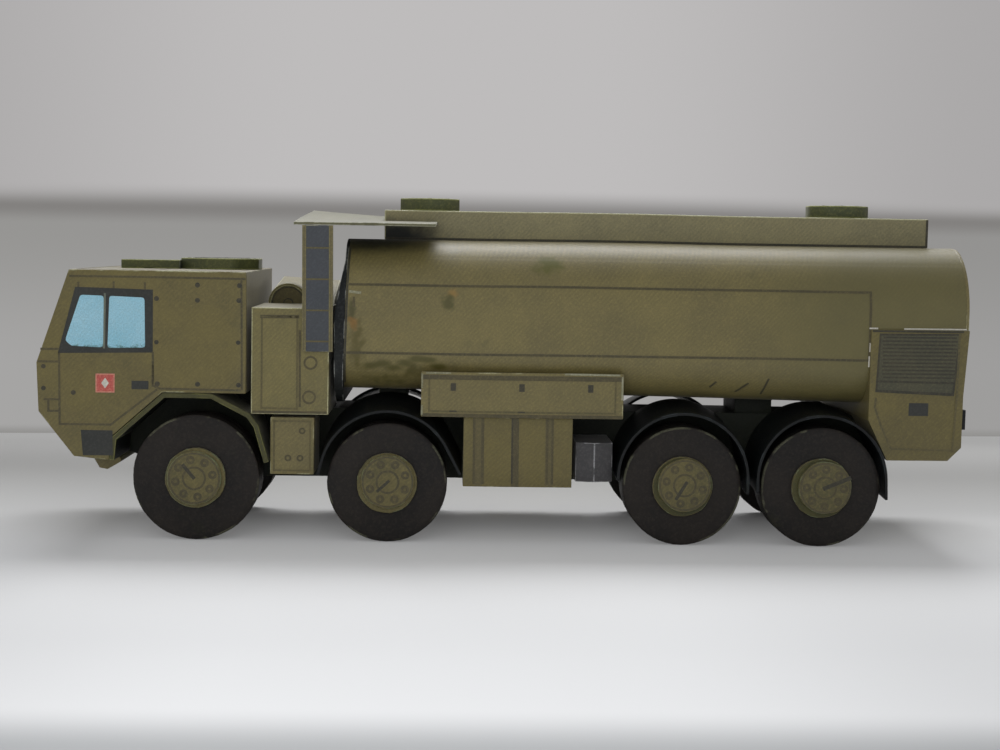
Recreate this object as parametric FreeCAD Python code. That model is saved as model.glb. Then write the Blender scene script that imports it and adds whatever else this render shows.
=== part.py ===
import FreeCAD, Part
import math
import os

# Card scale model of an eight-wheeled tanker truck, about 1:100.
# +X is forward, +Y is the vehicle's left and +Z is up; the origin is on the
# ground under the middle of the truck. All sizes are millimetres.

# Overall
half_width = 12.5          # the wheel hubs' faces
card = 0.3                 # thickness of the folded card
black_card = 0.3           # thickness of the mudguard strips
glue_gap = 0.03            # left where a curved or slanted face meets another

# Wheels and axles
tyre_width = 4.2
hub_proud = 1.0            # how far a hub stands out of its tyre
hub_radius = 3.2
hub_cap_radius = 2.85
hub_cap_height = 0.5
tyre_edge = 0.35           # bevel of the tyre's outer rim
rod_radius = 0.9
rod_glue = 0.02            # radial gap between rod and tyre
bearing_gap = 0.05         # radial gap between rod and frame
wheels = [                 # axle number, x, tyre radius, cap shift along x, cap shift up
    (1, 32.15, 6.6, 0.05, 0.05),
    (2, 12.25, 6.3, -0.1, 0.2),
    (3, -18.75, 6.3, -0.15, 0.2),
    (4, -33.4, 6.35, -0.15, 0.1),
]

# Chassis box
frame_half_width = 4.2
frame_top = 13.4
frame_bottom = 5.9
frame_front = 40.4
frame_toe = 5.8            # how far the lower front corner is cut back
cheek_half = 1.7           # half length of the cheek that holds each rod
cheek_drop = 1.4           # its foot lies this far below the rod's middle

# Cab
cab_half_width = 12.3
cab_front_x = 45.1         # front edge of the roof
cab_nose_x = 48.4
cab_nose_top = 18.5
cab_nose_bottom = 13.45
cab_nose_in = 0.2          # how far the lower crease of the nose lies in
cab_rear_x = 26.9
cab_roof = 28.1
cab_floor = 15.5
bumper_front_x = 44.6
bumper_rear_x = 41.0
bumper_bottom = 8.4
bumper_rise = 0.4          # the bumper's underside rises to the front
arch_foot = 10.85          # where the wheel arch leaves the bumper's rear
arch_foot_in = 0.25        # the bumper's rear wall leans back by this
arch_top_x = 35.5
roof_hatch = (31.25, -1.5, 8.5, 1.2)        # x, y, width across flats, height
roof_vent = (6.3, 6.0, 0.95)               # length, width, height, ahead of the hatch
lip_half_width = 9.0
lip_drop = 1.4             # how far the lip hangs below the bumper
lip_length = 2.5

# Front mudguard: bends of its outer side behind the arch, as x and drop below the arch
front_guard_card = 0.5
front_guard_gap = 0.05     # under the cab's wheel arch
front_guard_bends = [(30.4, 0.0), (26.5, 2.0), (25.6, 3.2)]
front_guard_rear_x = 24.5
front_guard_bottom = 8.45

# Boxes behind the cab; the right one has a twisted top that falls to the middle
tall_box_front = 26.4
tall_box_rear = 18.4
tall_box_top = 24.5
tall_box_outer = 12.0
tall_box_inner = 0.1
right_box_front = 25.45
right_box_rear = 18.85
right_box_inner = 1.7
right_box_tops = [(26.1, 27.2), (24.4, 26.85)]  # inner and outer height, front then rear
brace_inner = 6.0          # a card tab between the left box and the tank
brace_outer = 11.6
brace_bottom = 22.2
brace_rise = 0.35          # it climbs to the tank
lower_box_front = 24.4
lower_box_rear = 19.87
lower_box_gap = 0.35       # under the left box
lower_box_bottom = 7.1
lower_box_outer = 11.6
drum_x = 23.75
drum_radius = 2.2
drum_rim = 0.28            # width of the raised rim
drum_recess = 0.15

# Ladder and platform
ladder_front = 21.15
ladder_rear = 18.0
ladder_bottom = 20.0
ladder_card = 0.5
platform_near = 33.05      # underside at the near edge
platform_front_rise = 1.6  # how much higher the right side lies at the front
platform_rear_rise = 1.0
platform_half_width = tall_box_outer + ladder_card
platform_front = 22.05
platform_arm_rear = 7.4

# Tank
tank_front = 17.0          # front edge of the tube at its foot
tank_front_lean = 0.5      # the tube's top front edge lies this far back
tank_rear = -48.4
tank_half_width = 12.0
tank_top = 31.7
tank_bottom_front = 15.9   # the tube grows deeper to the rear
tank_bottom_rear = 14.9
tank_top_bend = 6.8        # radius of the upper corners
tank_low_bend = 5.0        # radius of the lower corners
tank_end_card = 0.35
end_plate_foot = 0.9       # the front plate's foot stands this far ahead of the tube
end_plate_drop = 1.5       # and hangs this far below it
top_box_front = 13.05
top_box_rear = -45.95
top_box_half_width = 4.2
top_box_top = 34.85
hatch_across = 6.4
hatch_height = 1.35
hatches = [("hatch_front", 8.25), ("hatch_rear", -36.8)]
saddles = [(12.0, 3.0), (-1.5, 4.0), (-27.4, 4.0)]   # x of the middle, length
saddle_half_width = 4.0

# Lockers between the axles
locker_front = 8.8
locker_rear = -12.3
locker_top = 18.1
locker_proud = 0.5         # how far it stands out of the tank's side
locker_foot_in = 3.4       # its inner foot lies this far inside the tank's side
locker_foot_top = 14.2
store_front = 4.3
store_rear = -7.1
store_bottom = 6.1
store_outer = 12.1
small_tank_gap = 0.4       # behind the storage box
small_tank_length = 3.85
small_tank_top = 10.85
small_tank_bottom = 6.7
small_tank_outer = 11.6
small_tank_ridge = 0.5

# Rear cabinet
cabinet_proud = 0.25       # how far it stands out of the tank's side
cabinet_top = 23.15
cabinet_bottom = 9.45
cabinet_front = -38.1
cabinet_cut_top = 13.7     # height where the lower front corner is cut back
cabinet_cut_x = -40.2
cabinet_waist_z = 16.3
cabinet_waist_in = 0.42    # how far the rear wall lies in below the waist
cabinet_chamfer = 1.4
lamp_size = (0.42, 2.6, 2.1)   # x, y, z
lamp_z = 13.8
lamp_inset = 0.2           # from the cabinet's side

# Black mudguards: axle number, rise of the bend's centre over the axle, gap to the tyre,
# rise of the strip towards the chassis, front angle, front tail, rear angle, rear tail.
# Angles are from straight up.
guards = [
    (2, 0.55, 0.55, 1.2, 75.0, 1.6, 62.0, 3.2),
    (3, 0.9, 0.35, 0.75, 90.0, 0.3, 90.0, 1.6),
    (4, 0.85, 0.3, 0.7, 90.0, 1.4, 88.0, 2.2),
]
guard_outer = 12.35


def vec(x, y, z):
    return FreeCAD.Vector(x, y, z)


def box(x0, x1, y0, y1, z0, z1):
    return Part.makeBox(x1 - x0, y1 - y0, z1 - z0, vec(x0, y0, z0))


def prism_y(outline, y0, y1):
    # A closed outline of (x, z) corners drawn out along Y.
    corners = [vec(x, y0, z) for x, z in outline]
    face = Part.Face(Part.makePolygon(corners + corners[:1]))
    return face.extrude(vec(0, y1 - y0, 0))


def prism_x(outline, x0, x1):
    # A closed outline of (y, z) corners drawn out along X.
    corners = [vec(x0, y, z) for y, z in outline]
    face = Part.Face(Part.makePolygon(corners + corners[:1]))
    return face.extrude(vec(x1 - x0, 0, 0))


def disc_y(radius, x, y0, y1, z):
    start = vec(x, min(y0, y1), z)
    return Part.makeCylinder(radius, abs(y1 - y0), start, vec(0, 1, 0))


def octagon(across, x, y, z0, height):
    # An eight-sided lid with flats towards the front and the sides.
    radius = across / 2 / math.cos(math.pi / 8)
    corners = []
    for i in range(8):
        angle = math.pi / 8 + i * math.pi / 4
        corners.append(vec(x + radius * math.cos(angle), y + radius * math.sin(angle), z0))
    face = Part.Face(Part.makePolygon(corners + corners[:1]))
    return face.extrude(vec(0, 0, height))


def mirrored(shape):
    # The same piece on the vehicle's right side.
    return shape.mirror(vec(0, 0, 0), vec(0, 1, 0))


def save(name, shape):
    shape.exportStep("parts/" + name + ".step")


def save_pair(name, left):
    save(name + "_left", left)
    save(name + "_right", mirrored(left))


def cut_x_at(z):
    # The slanted face where the frame's end meets the cabinet.
    share = (cabinet_cut_top - z) / (cabinet_cut_top - cabinet_bottom)
    return cabinet_front + share * (cabinet_cut_x - cabinet_front)


def build_frame():
    outline = [
        (cut_x_at(frame_top), frame_top),
        (cab_rear_x, frame_top),
        (cab_rear_x, cab_floor),
        (arch_top_x, cab_floor),
        (frame_front, arch_foot),
        (frame_front, bumper_bottom),
        (frame_front - frame_toe, frame_bottom),
        (cut_x_at(cabinet_bottom) + 1.2, frame_bottom),
        (cut_x_at(cabinet_bottom), cabinet_bottom - 1.0),
        (cut_x_at(cabinet_bottom), cabinet_bottom),
    ]
    frame = prism_y(outline, -frame_half_width, frame_half_width)
    for _, x, tyre_radius, _, _ in wheels:
        cheek = box(x - cheek_half, x + cheek_half, -frame_half_width, frame_half_width,
                    tyre_radius - cheek_drop, frame_top - 1)
        bore = disc_y(rod_radius + bearing_gap, x, -half_width, half_width, tyre_radius)
        frame = frame.fuse(cheek).cut(bore)
    return frame.removeSplitter()


def build_cab():
    outline = [
        (cab_front_x, cab_roof),
        (cab_nose_x, cab_nose_top),
        (cab_nose_x - cab_nose_in, cab_nose_bottom),
        (bumper_front_x, bumper_bottom + bumper_rise),
        (bumper_rear_x, bumper_bottom),
        (bumper_rear_x - arch_foot_in, arch_foot),
        (arch_top_x, cab_floor),
        (cab_rear_x, cab_floor),
        (cab_rear_x, cab_roof),
    ]
    return prism_y(outline, -cab_half_width, cab_half_width)


def build_lip():
    # A folded wedge glued to the bumper's slightly sloping underside, its rear
    # against the chassis box and its top clear of the mudguard's foot.
    front = bumper_rear_x + lip_length
    slope = bumper_rise / (bumper_front_x - bumper_rear_x)
    level = bumper_bottom - front_guard_card / 4
    low = bumper_bottom - lip_drop
    outline = [
        (front, bumper_bottom + slope * (front - bumper_rear_x)),
        (front - lip_length / 3, low + lip_drop / 8),
        (front - lip_length * 2 / 3, low),
        (frame_front + glue_gap, level - lip_drop / 3),
        (frame_front + glue_gap, level),
        (bumper_rear_x, level),
        (bumper_rear_x, bumper_bottom),
    ]
    return prism_y(outline, -lip_half_width, lip_half_width)


def build_roof_vent():
    hatch_x, y, across, _ = roof_hatch
    length, width, height = roof_vent
    rear = hatch_x + across / 2 + glue_gap
    return box(rear, rear + length, y - width / 2, y + width / 2, cab_roof, cab_roof + height)


def build_front_guard():
    # A strip folded under the cab's wheel arch and down behind the wheel.
    drop = front_guard_gap
    top = cab_floor - drop
    outer = [
        (bumper_rear_x - drop, front_guard_bottom),
        (bumper_rear_x - arch_foot_in - drop, arch_foot - drop),
        (arch_top_x - drop, top),
    ]
    for x, fall in front_guard_bends:
        outer.append((x, top - fall))
    outer.append((front_guard_rear_x, front_guard_bottom))
    inner = inset_path(outer, front_guard_card)
    return prism_y(outer + inner[::-1], frame_half_width, cab_half_width)


def inset_path(path, depth):
    # The open path moved to its right-hand side by depth, corners mitred.
    moved = []
    for i, (x, z) in enumerate(path):
        normals = []
        for a, b in ((i - 1, i), (i, i + 1)):
            if a < 0 or b >= len(path):
                continue
            dx = path[b][0] - path[a][0]
            dz = path[b][1] - path[a][1]
            size = math.hypot(dx, dz)
            normals.append((-dz / size, dx / size))
        nx = sum(n[0] for n in normals)
        nz = sum(n[1] for n in normals)
        scale = depth * len(normals) / (nx * nx + nz * nz)
        moved.append((x + nx * scale, z + nz * scale))
    return moved


def drawn_inwards(face, lift):
    # Drawn from the mudguards' outer edge to the chassis, rising on the way.
    return face.extrude(vec(0, frame_half_width - guard_outer, lift))


def guard_side(axle_x, centre_z, r, bends):
    # One side of a strip: a tail, a bend about the wheel and the other tail.
    front_angle, front_tail, rear_angle, rear_tail = bends

    def point(angle, tail, side):
        a = math.radians(angle)
        x = axle_x + side * (r * math.sin(a) + tail * math.cos(a))
        return vec(x, guard_outer, centre_z + r * math.cos(a) - tail * math.sin(a))

    foot = point(front_angle, front_tail, 1)
    bend = point(front_angle, 0, 1)
    rear_bend = point(rear_angle, 0, -1)
    rear_foot = point(rear_angle, rear_tail, -1)
    edges = [
        Part.LineSegment(foot, bend).toShape(),
        Part.Arc(bend, point(0, 0, 1), rear_bend).toShape(),
        Part.LineSegment(rear_bend, rear_foot).toShape(),
    ]
    return edges, foot, rear_foot


def build_guard(number):
    x, tyre_radius = axles[number]
    rise, gap, lift, *bends = guard_rows[number]
    radius = tyre_radius + gap + black_card
    outer, front, rear = guard_side(x, tyre_radius + rise, radius, bends)
    inner, inner_front, inner_rear = guard_side(x, tyre_radius + rise, radius - black_card, bends)
    ends = [
        Part.LineSegment(front, inner_front).toShape(),
        Part.LineSegment(rear, inner_rear).toShape(),
    ]
    wire = Part.Wire(Part.__sortEdges__(outer + inner + ends))
    strip = drawn_inwards(Part.Face(wire), lift)
    return strip.cut(lower_box_room).cut(storage_room)


def wheel_bay(number):
    # The room of a mudguard and its wheel: the bend, carried straight down.
    x, tyre_radius = axles[number]
    rise, gap, lift, *_ = guard_rows[number]
    radius = tyre_radius + gap + black_card + glue_gap
    straight_down = (90.0, tyre_radius, 90.0, tyre_radius)
    edges, front, rear = guard_side(x, tyre_radius + rise, radius, straight_down)
    edges.append(Part.LineSegment(front, rear).toShape())
    return drawn_inwards(Part.Face(Part.Wire(Part.__sortEdges__(edges))), lift)


def build_tall_box_right():
    # Its top is twisted: it falls to the middle, and more so at the rear.
    sections = []
    for x, (inner_top, outer_top) in zip((right_box_front, right_box_rear), right_box_tops):
        corners = [
            vec(x, -right_box_inner, frame_top),
            vec(x, -right_box_inner, inner_top),
            vec(x, -tall_box_outer, outer_top),
            vec(x, -tall_box_outer, frame_top),
        ]
        sections.append(Part.makePolygon(corners + corners[:1]))
    return Part.makeLoft(sections, True, True)


def build_brace():
    # A card tab from the left box's rear to the tank's front plate.
    front = tall_box_rear
    rear = tank_front + end_plate_foot
    outline = [
        (front, brace_bottom),
        (front, brace_bottom + card),
        (rear, brace_bottom + card + brace_rise),
        (rear, brace_bottom + brace_rise),
    ]
    return prism_y(outline, brace_inner, brace_outer)


def build_drum():
    # A short drum between the two boxes, with a raised rim round its near end.
    near = tall_box_inner - glue_gap
    rim_inner = drum_radius - drum_rim
    profile = [
        vec(drum_x, -right_box_inner + glue_gap, tall_box_top),
        vec(drum_x, -right_box_inner + glue_gap, tall_box_top + drum_radius),
        vec(drum_x, near, tall_box_top + drum_radius),
        vec(drum_x, near, tall_box_top + rim_inner),
        vec(drum_x, near - drum_recess, tall_box_top + rim_inner),
        vec(drum_x, near - drum_recess, tall_box_top),
    ]
    face = Part.Face(Part.makePolygon(profile + profile[:1]))
    return face.revolve(vec(drum_x, 0, tall_box_top), vec(0, 1, 0), 360)


def platform_section(x, y0, y1):
    # A slice of the platform at x, between two places across the truck.
    share = (platform_front - x) / (platform_front - top_box_front)
    share = min(share, 1.0)
    rise = platform_front_rise + share * (platform_rear_rise - platform_front_rise)
    corners = []
    for y, lift in ((y0, 0), (y1, 0), (y1, card), (y0, card)):
        z = platform_near + rise * (platform_half_width - y) / (2 * platform_half_width) + lift
        corners.append(vec(x, y, z))
    return Part.makePolygon(corners + corners[:1])


def build_platform():
    # A plate across the truck, sagging to the rear, with an arm beside the
    # top box on each side.
    rear = top_box_front + glue_gap
    sections = [platform_section(platform_front, -platform_half_width, platform_half_width),
                platform_section(rear, -platform_half_width, platform_half_width)]
    plate = Part.makeLoft(sections, True, True)
    for y0, y1 in ((top_box_half_width + glue_gap, platform_half_width),
                   (-platform_half_width, -top_box_half_width - glue_gap)):
        arm = Part.makeLoft([platform_section(rear, y0, y1),
                             platform_section(platform_arm_rear, y0, y1)], True, True)
        plate = plate.fuse(arm)
    return plate.removeSplitter()


def tank_bottom_at(x):
    share = (tank_front - x) / (tank_front - tank_rear)
    return tank_bottom_front + share * (tank_bottom_rear - tank_bottom_front)


def tank_front_at(z):
    # The tube's front end leans back from its foot to its top.
    share = (z - tank_bottom_front) / (tank_top - tank_bottom_front)
    return tank_front - share * tank_front_lean


def tank_section(x, extra=0.0):
    # The tube's outline at x: flat sides, wide upper and tighter lower bends.
    half = tank_half_width
    up = tank_top_bend
    low = tank_low_bend
    bottom = tank_bottom_at(x) - extra
    turn = math.sqrt(0.5)
    edges = []
    for side in (1, -1):
        upper = [(half - up, tank_top), (half - up + up * turn, tank_top - up + up * turn),
                 (half, tank_top - up)]
        lower = [(half, bottom + low),
                 (half - low + low * turn, bottom + low - low * turn),
                 (half - low, bottom)]
        up_points = [vec(x, side * y, z) for y, z in upper]
        low_points = [vec(x, side * y, z) for y, z in lower]
        edges.append(Part.Arc(*up_points).toShape())
        edges.append(Part.LineSegment(up_points[2], low_points[0]).toShape())
        edges.append(Part.Arc(*low_points).toShape())
    for z, bend in ((tank_top, up), (bottom, low)):
        edges.append(Part.LineSegment(vec(x, bend - half, z), vec(x, half - bend, z)).toShape())
    return Part.Wire(Part.__sortEdges__(edges))


def tank_length(x0, x1):
    # The tube between two places, with the corner over the cabinet cut away.
    tube = Part.makeLoft([tank_section(x0), tank_section(x1)], True, True)
    corner = box(tank_rear - 1, cabinet_front, -tank_half_width, tank_half_width,
                 tank_bottom_rear - 1, cabinet_top)
    return tube.cut(corner)


def build_tank_body():
    # The tube and, at its front, the wedge that gives the end its lean.
    start = tank_front_at(tank_top)
    tube = tank_length(tank_rear + tank_end_card, start)
    low = tank_bottom_front - 1
    wedge = [
        (start - 1, low),
        (start - 1, tank_top),
        (start, tank_top),
        (tank_front_at(low), low),
    ]
    ring = Part.Face(tank_section(start)).extrude(vec(tank_front_lean, 0, 0))
    return tube.fuse(ring.common(prism_y(wedge, -tank_half_width, tank_half_width)))


def build_front_plate():
    # The tube's front end: a plate that leans out to its foot below the tube.
    start = tank_front_at(tank_top)
    front = tank_front + end_plate_foot
    outline = Part.Face(tank_section(start, end_plate_drop))
    block = outline.extrude(vec(front - start, 0, 0))
    knee = tank_bottom_front + (tank_top - tank_bottom_front) / 2
    low = tank_bottom_front - end_plate_drop - 1
    high = tank_top + 1
    profile = [
        (tank_front_at(low), low),
        (tank_front_at(high), high),
        (start + tank_end_card, high),
        (start + tank_end_card, tank_top - tank_top_bend / 3),
        (front, knee),
        (front, low),
    ]
    return block.common(prism_y(profile, -tank_half_width, tank_half_width))


def build_top_box():
    return box(top_box_rear, top_box_front, -top_box_half_width, top_box_half_width,
               tank_top, top_box_top)


def build_saddles():
    # Blocks on the chassis, each cut to the slope of the tube's bottom.
    blocks = []
    for x, length in saddles:
        front = x + length / 2
        rear = x - length / 2
        outline = [
            (front, frame_top),
            (front, tank_bottom_at(front)),
            (rear, tank_bottom_at(rear)),
            (rear, frame_top),
        ]
        blocks.append(prism_y(outline, -saddle_half_width, saddle_half_width))
    return Part.makeCompound(blocks)


def build_locker():
    # The long locker: its inner side slants to clear the tank's lower bend, and
    # its lower corners give room to the mudguards.
    outer = tank_half_width + locker_proud
    outline = [
        (outer, frame_top),
        (outer, locker_top),
        (tank_half_width, locker_top),
        (tank_half_width - locker_foot_in, locker_foot_top),
        (tank_half_width - locker_foot_in, frame_top),
    ]
    locker = prism_x(outline, locker_rear, locker_front)
    return locker.cut(wheel_bay(2)).cut(wheel_bay(3))


def build_small_tank():
    # A box whose outer side is folded to a shallow upright ridge.
    front = store_rear - small_tank_gap
    rear = front - small_tank_length
    plan = [
        (front, frame_half_width),
        (front, small_tank_outer),
        ((front + rear) / 2, small_tank_outer + small_tank_ridge),
        (rear, small_tank_outer),
        (rear, frame_half_width),
    ]
    corners = [vec(x, y, small_tank_bottom) for x, y in plan]
    face = Part.Face(Part.makePolygon(corners + corners[:1]))
    block = face.extrude(vec(0, 0, small_tank_top - small_tank_bottom))
    return block.cut(wheel_bay(3))


def build_cabinet():
    # Its lower front corner is cut back and gives room to the last mudguards.
    rear = tank_rear + cabinet_waist_in
    outline = [
        (cabinet_front, cabinet_top),
        (cabinet_front, cabinet_cut_top),
        (cabinet_cut_x, cabinet_bottom),
        (rear + cabinet_chamfer, cabinet_bottom),
        (rear, cabinet_bottom + cabinet_chamfer),
        (rear, cabinet_waist_z),
        (tank_rear, cabinet_top),
    ]
    half = tank_half_width + cabinet_proud
    cabinet = prism_y(outline, -half, half)
    bay = wheel_bay(4)
    return cabinet.cut(bay).cut(mirrored(bay))


def build_lamps():
    # Two blocks against the upright part of the rear wall.
    depth, width, height = lamp_size
    wall = tank_rear + cabinet_waist_in
    z0 = lamp_z - height / 2
    outer = tank_half_width + cabinet_proud - lamp_inset
    left = box(wall - depth, wall, outer - width, outer, z0, z0 + height)
    return Part.makeCompound([left, mirrored(left)])


def build_tyre(x, radius):
    # A drum of black card with a bevelled outer rim, bored for the rod.
    face_y = half_width - hub_proud
    drum = disc_y(radius, x, face_y - tyre_width, face_y, radius)
    rims = [e for e in drum.Edges if abs(e.BoundBox.YMin - face_y) < 0.001]
    drum = drum.makeChamfer(tyre_edge, rims)
    return drum.cut(disc_y(rod_radius + rod_glue, x, face_y - tyre_width, face_y, radius))


def build_hub(x, z, shift_x, shift_z):
    # A disc on the tyre's face and a smaller printed disc glued on it.
    face_y = half_width - hub_proud
    step = half_width - hub_cap_height
    base = disc_y(hub_radius, x, face_y, step, z)
    cap = disc_y(hub_cap_radius, x + shift_x, step, half_width, z + shift_z)
    return base.fuse(cap)


os.makedirs("parts", exist_ok=True)
axles = {number: (x, radius) for number, x, radius, _, _ in wheels}
guard_rows = {number: row for number, *row in guards}
lower_box_room = box(lower_box_rear - glue_gap, lower_box_front, frame_half_width, guard_outer,
                     lower_box_bottom - glue_gap, frame_top)
storage_room = box(store_rear, store_front + glue_gap, frame_half_width, guard_outer,
                   store_bottom - glue_gap, frame_top)

save("frame", build_frame())
save("cab_shell", build_cab())
save("front_lip", build_lip())
save("cab_roof_vent", build_roof_vent())
hatch_x, hatch_y, hatch_flat, hatch_lift = roof_hatch
save("cab_roof_hatch", octagon(hatch_flat, hatch_x, hatch_y, cab_roof, hatch_lift))
save_pair("front_mudguard", build_front_guard())

save("tall_box_left", box(tall_box_rear, tall_box_front, tall_box_inner, tall_box_outer,
                          frame_top, tall_box_top))
save("tall_box_right", build_tall_box_right())
save_pair("lower_box", box(lower_box_rear, lower_box_front, frame_half_width,
                           lower_box_outer, lower_box_bottom,
                           frame_top - lower_box_gap))
save("filter_drum", build_drum())
save("front_brace", build_brace())
save("ladder", box(ladder_rear, ladder_front, tall_box_outer, tall_box_outer + ladder_card,
                   ladder_bottom, platform_near - glue_gap))
save("platform", build_platform())

save("tank_body", build_tank_body())
save("tank_end_front", build_front_plate())
save("tank_end_rear", tank_length(tank_rear, tank_rear + tank_end_card))
save("tank_top_box", build_top_box())
for hatch_name, hatch_place in hatches:
    save(hatch_name, octagon(hatch_across, hatch_place, 0, top_box_top, hatch_height))
save("tank_saddles", build_saddles())

save_pair("side_locker", build_locker())
save_pair("storage_box", box(store_rear, store_front, frame_half_width, store_outer,
                             store_bottom, frame_top))
save_pair("small_tank", build_small_tank())
save("rear_cabinet", build_cabinet())
save("rear_lamps", build_lamps())

for number in guard_rows:
    save_pair("mudguard_%d" % number, build_guard(number))

rod_half = half_width - hub_proud
for number, x, radius, shift_x, shift_z in wheels:
    save("axle_%d" % number, disc_y(rod_radius, x, -rod_half, rod_half, radius))
    save_pair("tyre_%d" % number, build_tyre(x, radius))
    save_pair("hub_%d" % number, build_hub(x, radius, shift_x, shift_z))
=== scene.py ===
import math
import bmesh
import bpy
from mathutils import Matrix, Vector, noise
from mathutils.bvhtree import BVHTree


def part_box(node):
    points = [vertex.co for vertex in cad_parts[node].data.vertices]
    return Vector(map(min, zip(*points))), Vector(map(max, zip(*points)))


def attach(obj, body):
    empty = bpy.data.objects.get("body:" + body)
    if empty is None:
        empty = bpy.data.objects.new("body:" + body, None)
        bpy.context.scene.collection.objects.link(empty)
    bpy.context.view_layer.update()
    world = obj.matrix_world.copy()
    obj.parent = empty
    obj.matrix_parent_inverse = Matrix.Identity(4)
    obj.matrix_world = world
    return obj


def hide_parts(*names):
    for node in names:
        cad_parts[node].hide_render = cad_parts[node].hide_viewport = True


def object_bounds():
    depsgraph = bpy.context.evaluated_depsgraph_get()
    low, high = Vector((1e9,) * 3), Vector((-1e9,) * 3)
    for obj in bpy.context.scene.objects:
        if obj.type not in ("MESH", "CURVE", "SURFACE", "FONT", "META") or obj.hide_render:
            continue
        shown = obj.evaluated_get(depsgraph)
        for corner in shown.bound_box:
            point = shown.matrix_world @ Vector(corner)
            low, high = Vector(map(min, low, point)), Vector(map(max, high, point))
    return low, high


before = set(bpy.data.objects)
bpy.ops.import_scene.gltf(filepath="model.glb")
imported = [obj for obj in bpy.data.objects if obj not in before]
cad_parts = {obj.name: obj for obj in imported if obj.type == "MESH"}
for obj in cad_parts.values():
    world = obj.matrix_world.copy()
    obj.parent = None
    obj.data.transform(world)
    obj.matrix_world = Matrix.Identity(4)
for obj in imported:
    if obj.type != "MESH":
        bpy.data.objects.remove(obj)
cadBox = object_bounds()          # the CAD model's own box, before anything is added
mm = 0.001                    # everything below is worked out in millimetres
scene = bpy.context.scene
sides = {"left": 1, "right": -1}


def span(node):
    low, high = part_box(node)
    return low / mm, high / mm


# camera

cameraView = {
    "fromCentre": (5.72, 185.05, 13.4),   # from the middle of the CAD box
    "turn": 1.69,                         # degrees
    "tilt": 4.52,
    "roll": 0.95,
    "lens": 60.1,
}


def placeCamera():
    low, high = (Vector(corner) / mm for corner in cadBox)
    place = (low + high) / 2 + Vector(cameraView["fromCentre"])
    turn = Matrix.Rotation(math.radians(180 - cameraView["turn"]), 4, "Z")
    tilt = Matrix.Rotation(math.radians(90 - cameraView["tilt"]), 4, "X")
    roll = Matrix.Rotation(math.radians(cameraView["roll"]), 4, "Z")
    data = bpy.data.cameras.new("sideCamera")
    data.lens = cameraView["lens"]
    data.sensor_width = 36
    data.clip_start = 0.001
    data.clip_end = 20
    camera = bpy.data.objects.new("sideCamera", data)
    scene.collection.objects.link(camera)
    camera.matrix_world = Matrix.Translation(place * mm) @ turn @ tilt @ roll
    scene.camera = camera


placeCamera()


# small helpers for node trees

def tone(red, green, blue):
    # a colour as a screen shows it, in the linear values that Blender wants
    parts = []
    for part in (red, green, blue):
        share = part / 255
        parts.append(share / 12.92 if share < 0.04 else ((share + 0.055) / 1.055) ** 2.4)
    return (*parts, 1.0)


def feed(tree, socket, value):
    if isinstance(value, bpy.types.NodeSocket):
        tree.links.new(value, socket)
    else:
        socket.default_value = value


def addNode(tree, kind, inputs=None, **settings):
    node = tree.nodes.new(kind)
    for key, value in settings.items():
        setattr(node, key, value)
    for key, value in (inputs or {}).items():
        feed(tree, node.inputs[key], value)
    return node


def mixColour(tree, factor, first, second, blend="MIX"):
    return addNode(tree, "ShaderNodeMix", {0: factor, 6: first, 7: second},
                   data_type="RGBA", blend_type=blend).outputs[2]


def calc(tree, operation, *values):
    return addNode(tree, "ShaderNodeMath", dict(enumerate(values)), operation=operation).outputs[0]


def calcVector(tree, operation, *values):
    return addNode(tree, "ShaderNodeVectorMath", dict(enumerate(values)), operation=operation).outputs


def stretch(tree, value, low, high, newLow=0.0, newHigh=1.0):
    inputs = {"Value": value, "From Min": low, "From Max": high,
              "To Min": newLow, "To Max": newHigh}
    return addNode(tree, "ShaderNodeMapRange", inputs, interpolation_type="SMOOTHSTEP").outputs[0]


def cloud(tree, place, scale, detail=2.0, rough=0.5):
    inputs = {"Vector": place, "Scale": scale, "Detail": detail, "Roughness": rough}
    return addNode(tree, "ShaderNodeTexNoise", inputs).outputs["Fac"]


def millimetres(tree, seed=0.0):
    # object coordinates in millimetres, shifted by the seed
    here = addNode(tree, "ShaderNodeTexCoord").outputs["Object"]
    big = calcVector(tree, "MULTIPLY", here, (1 / mm,) * 3)[0]
    shift = addNode(tree, "ShaderNodeCombineXYZ", {"X": seed, "Y": seed, "Z": seed}).outputs[0]
    return calcVector(tree, "ADD", big, shift)[0]


def shaderGroup(name, inputs, outputs):
    # inputs and outputs are rows of a socket kind and its labels
    tree = bpy.data.node_groups.new(name, "ShaderNodeTree")
    for way, rows in (("INPUT", inputs), ("OUTPUT", outputs)):
        for kind, *labels in rows:
            for label in labels:
                tree.interface.new_socket(label, in_out=way, socket_type="NodeSocket" + kind)
    return tree, tree.nodes.new("NodeGroupInput").outputs, tree.nodes.new("NodeGroupOutput").inputs


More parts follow.
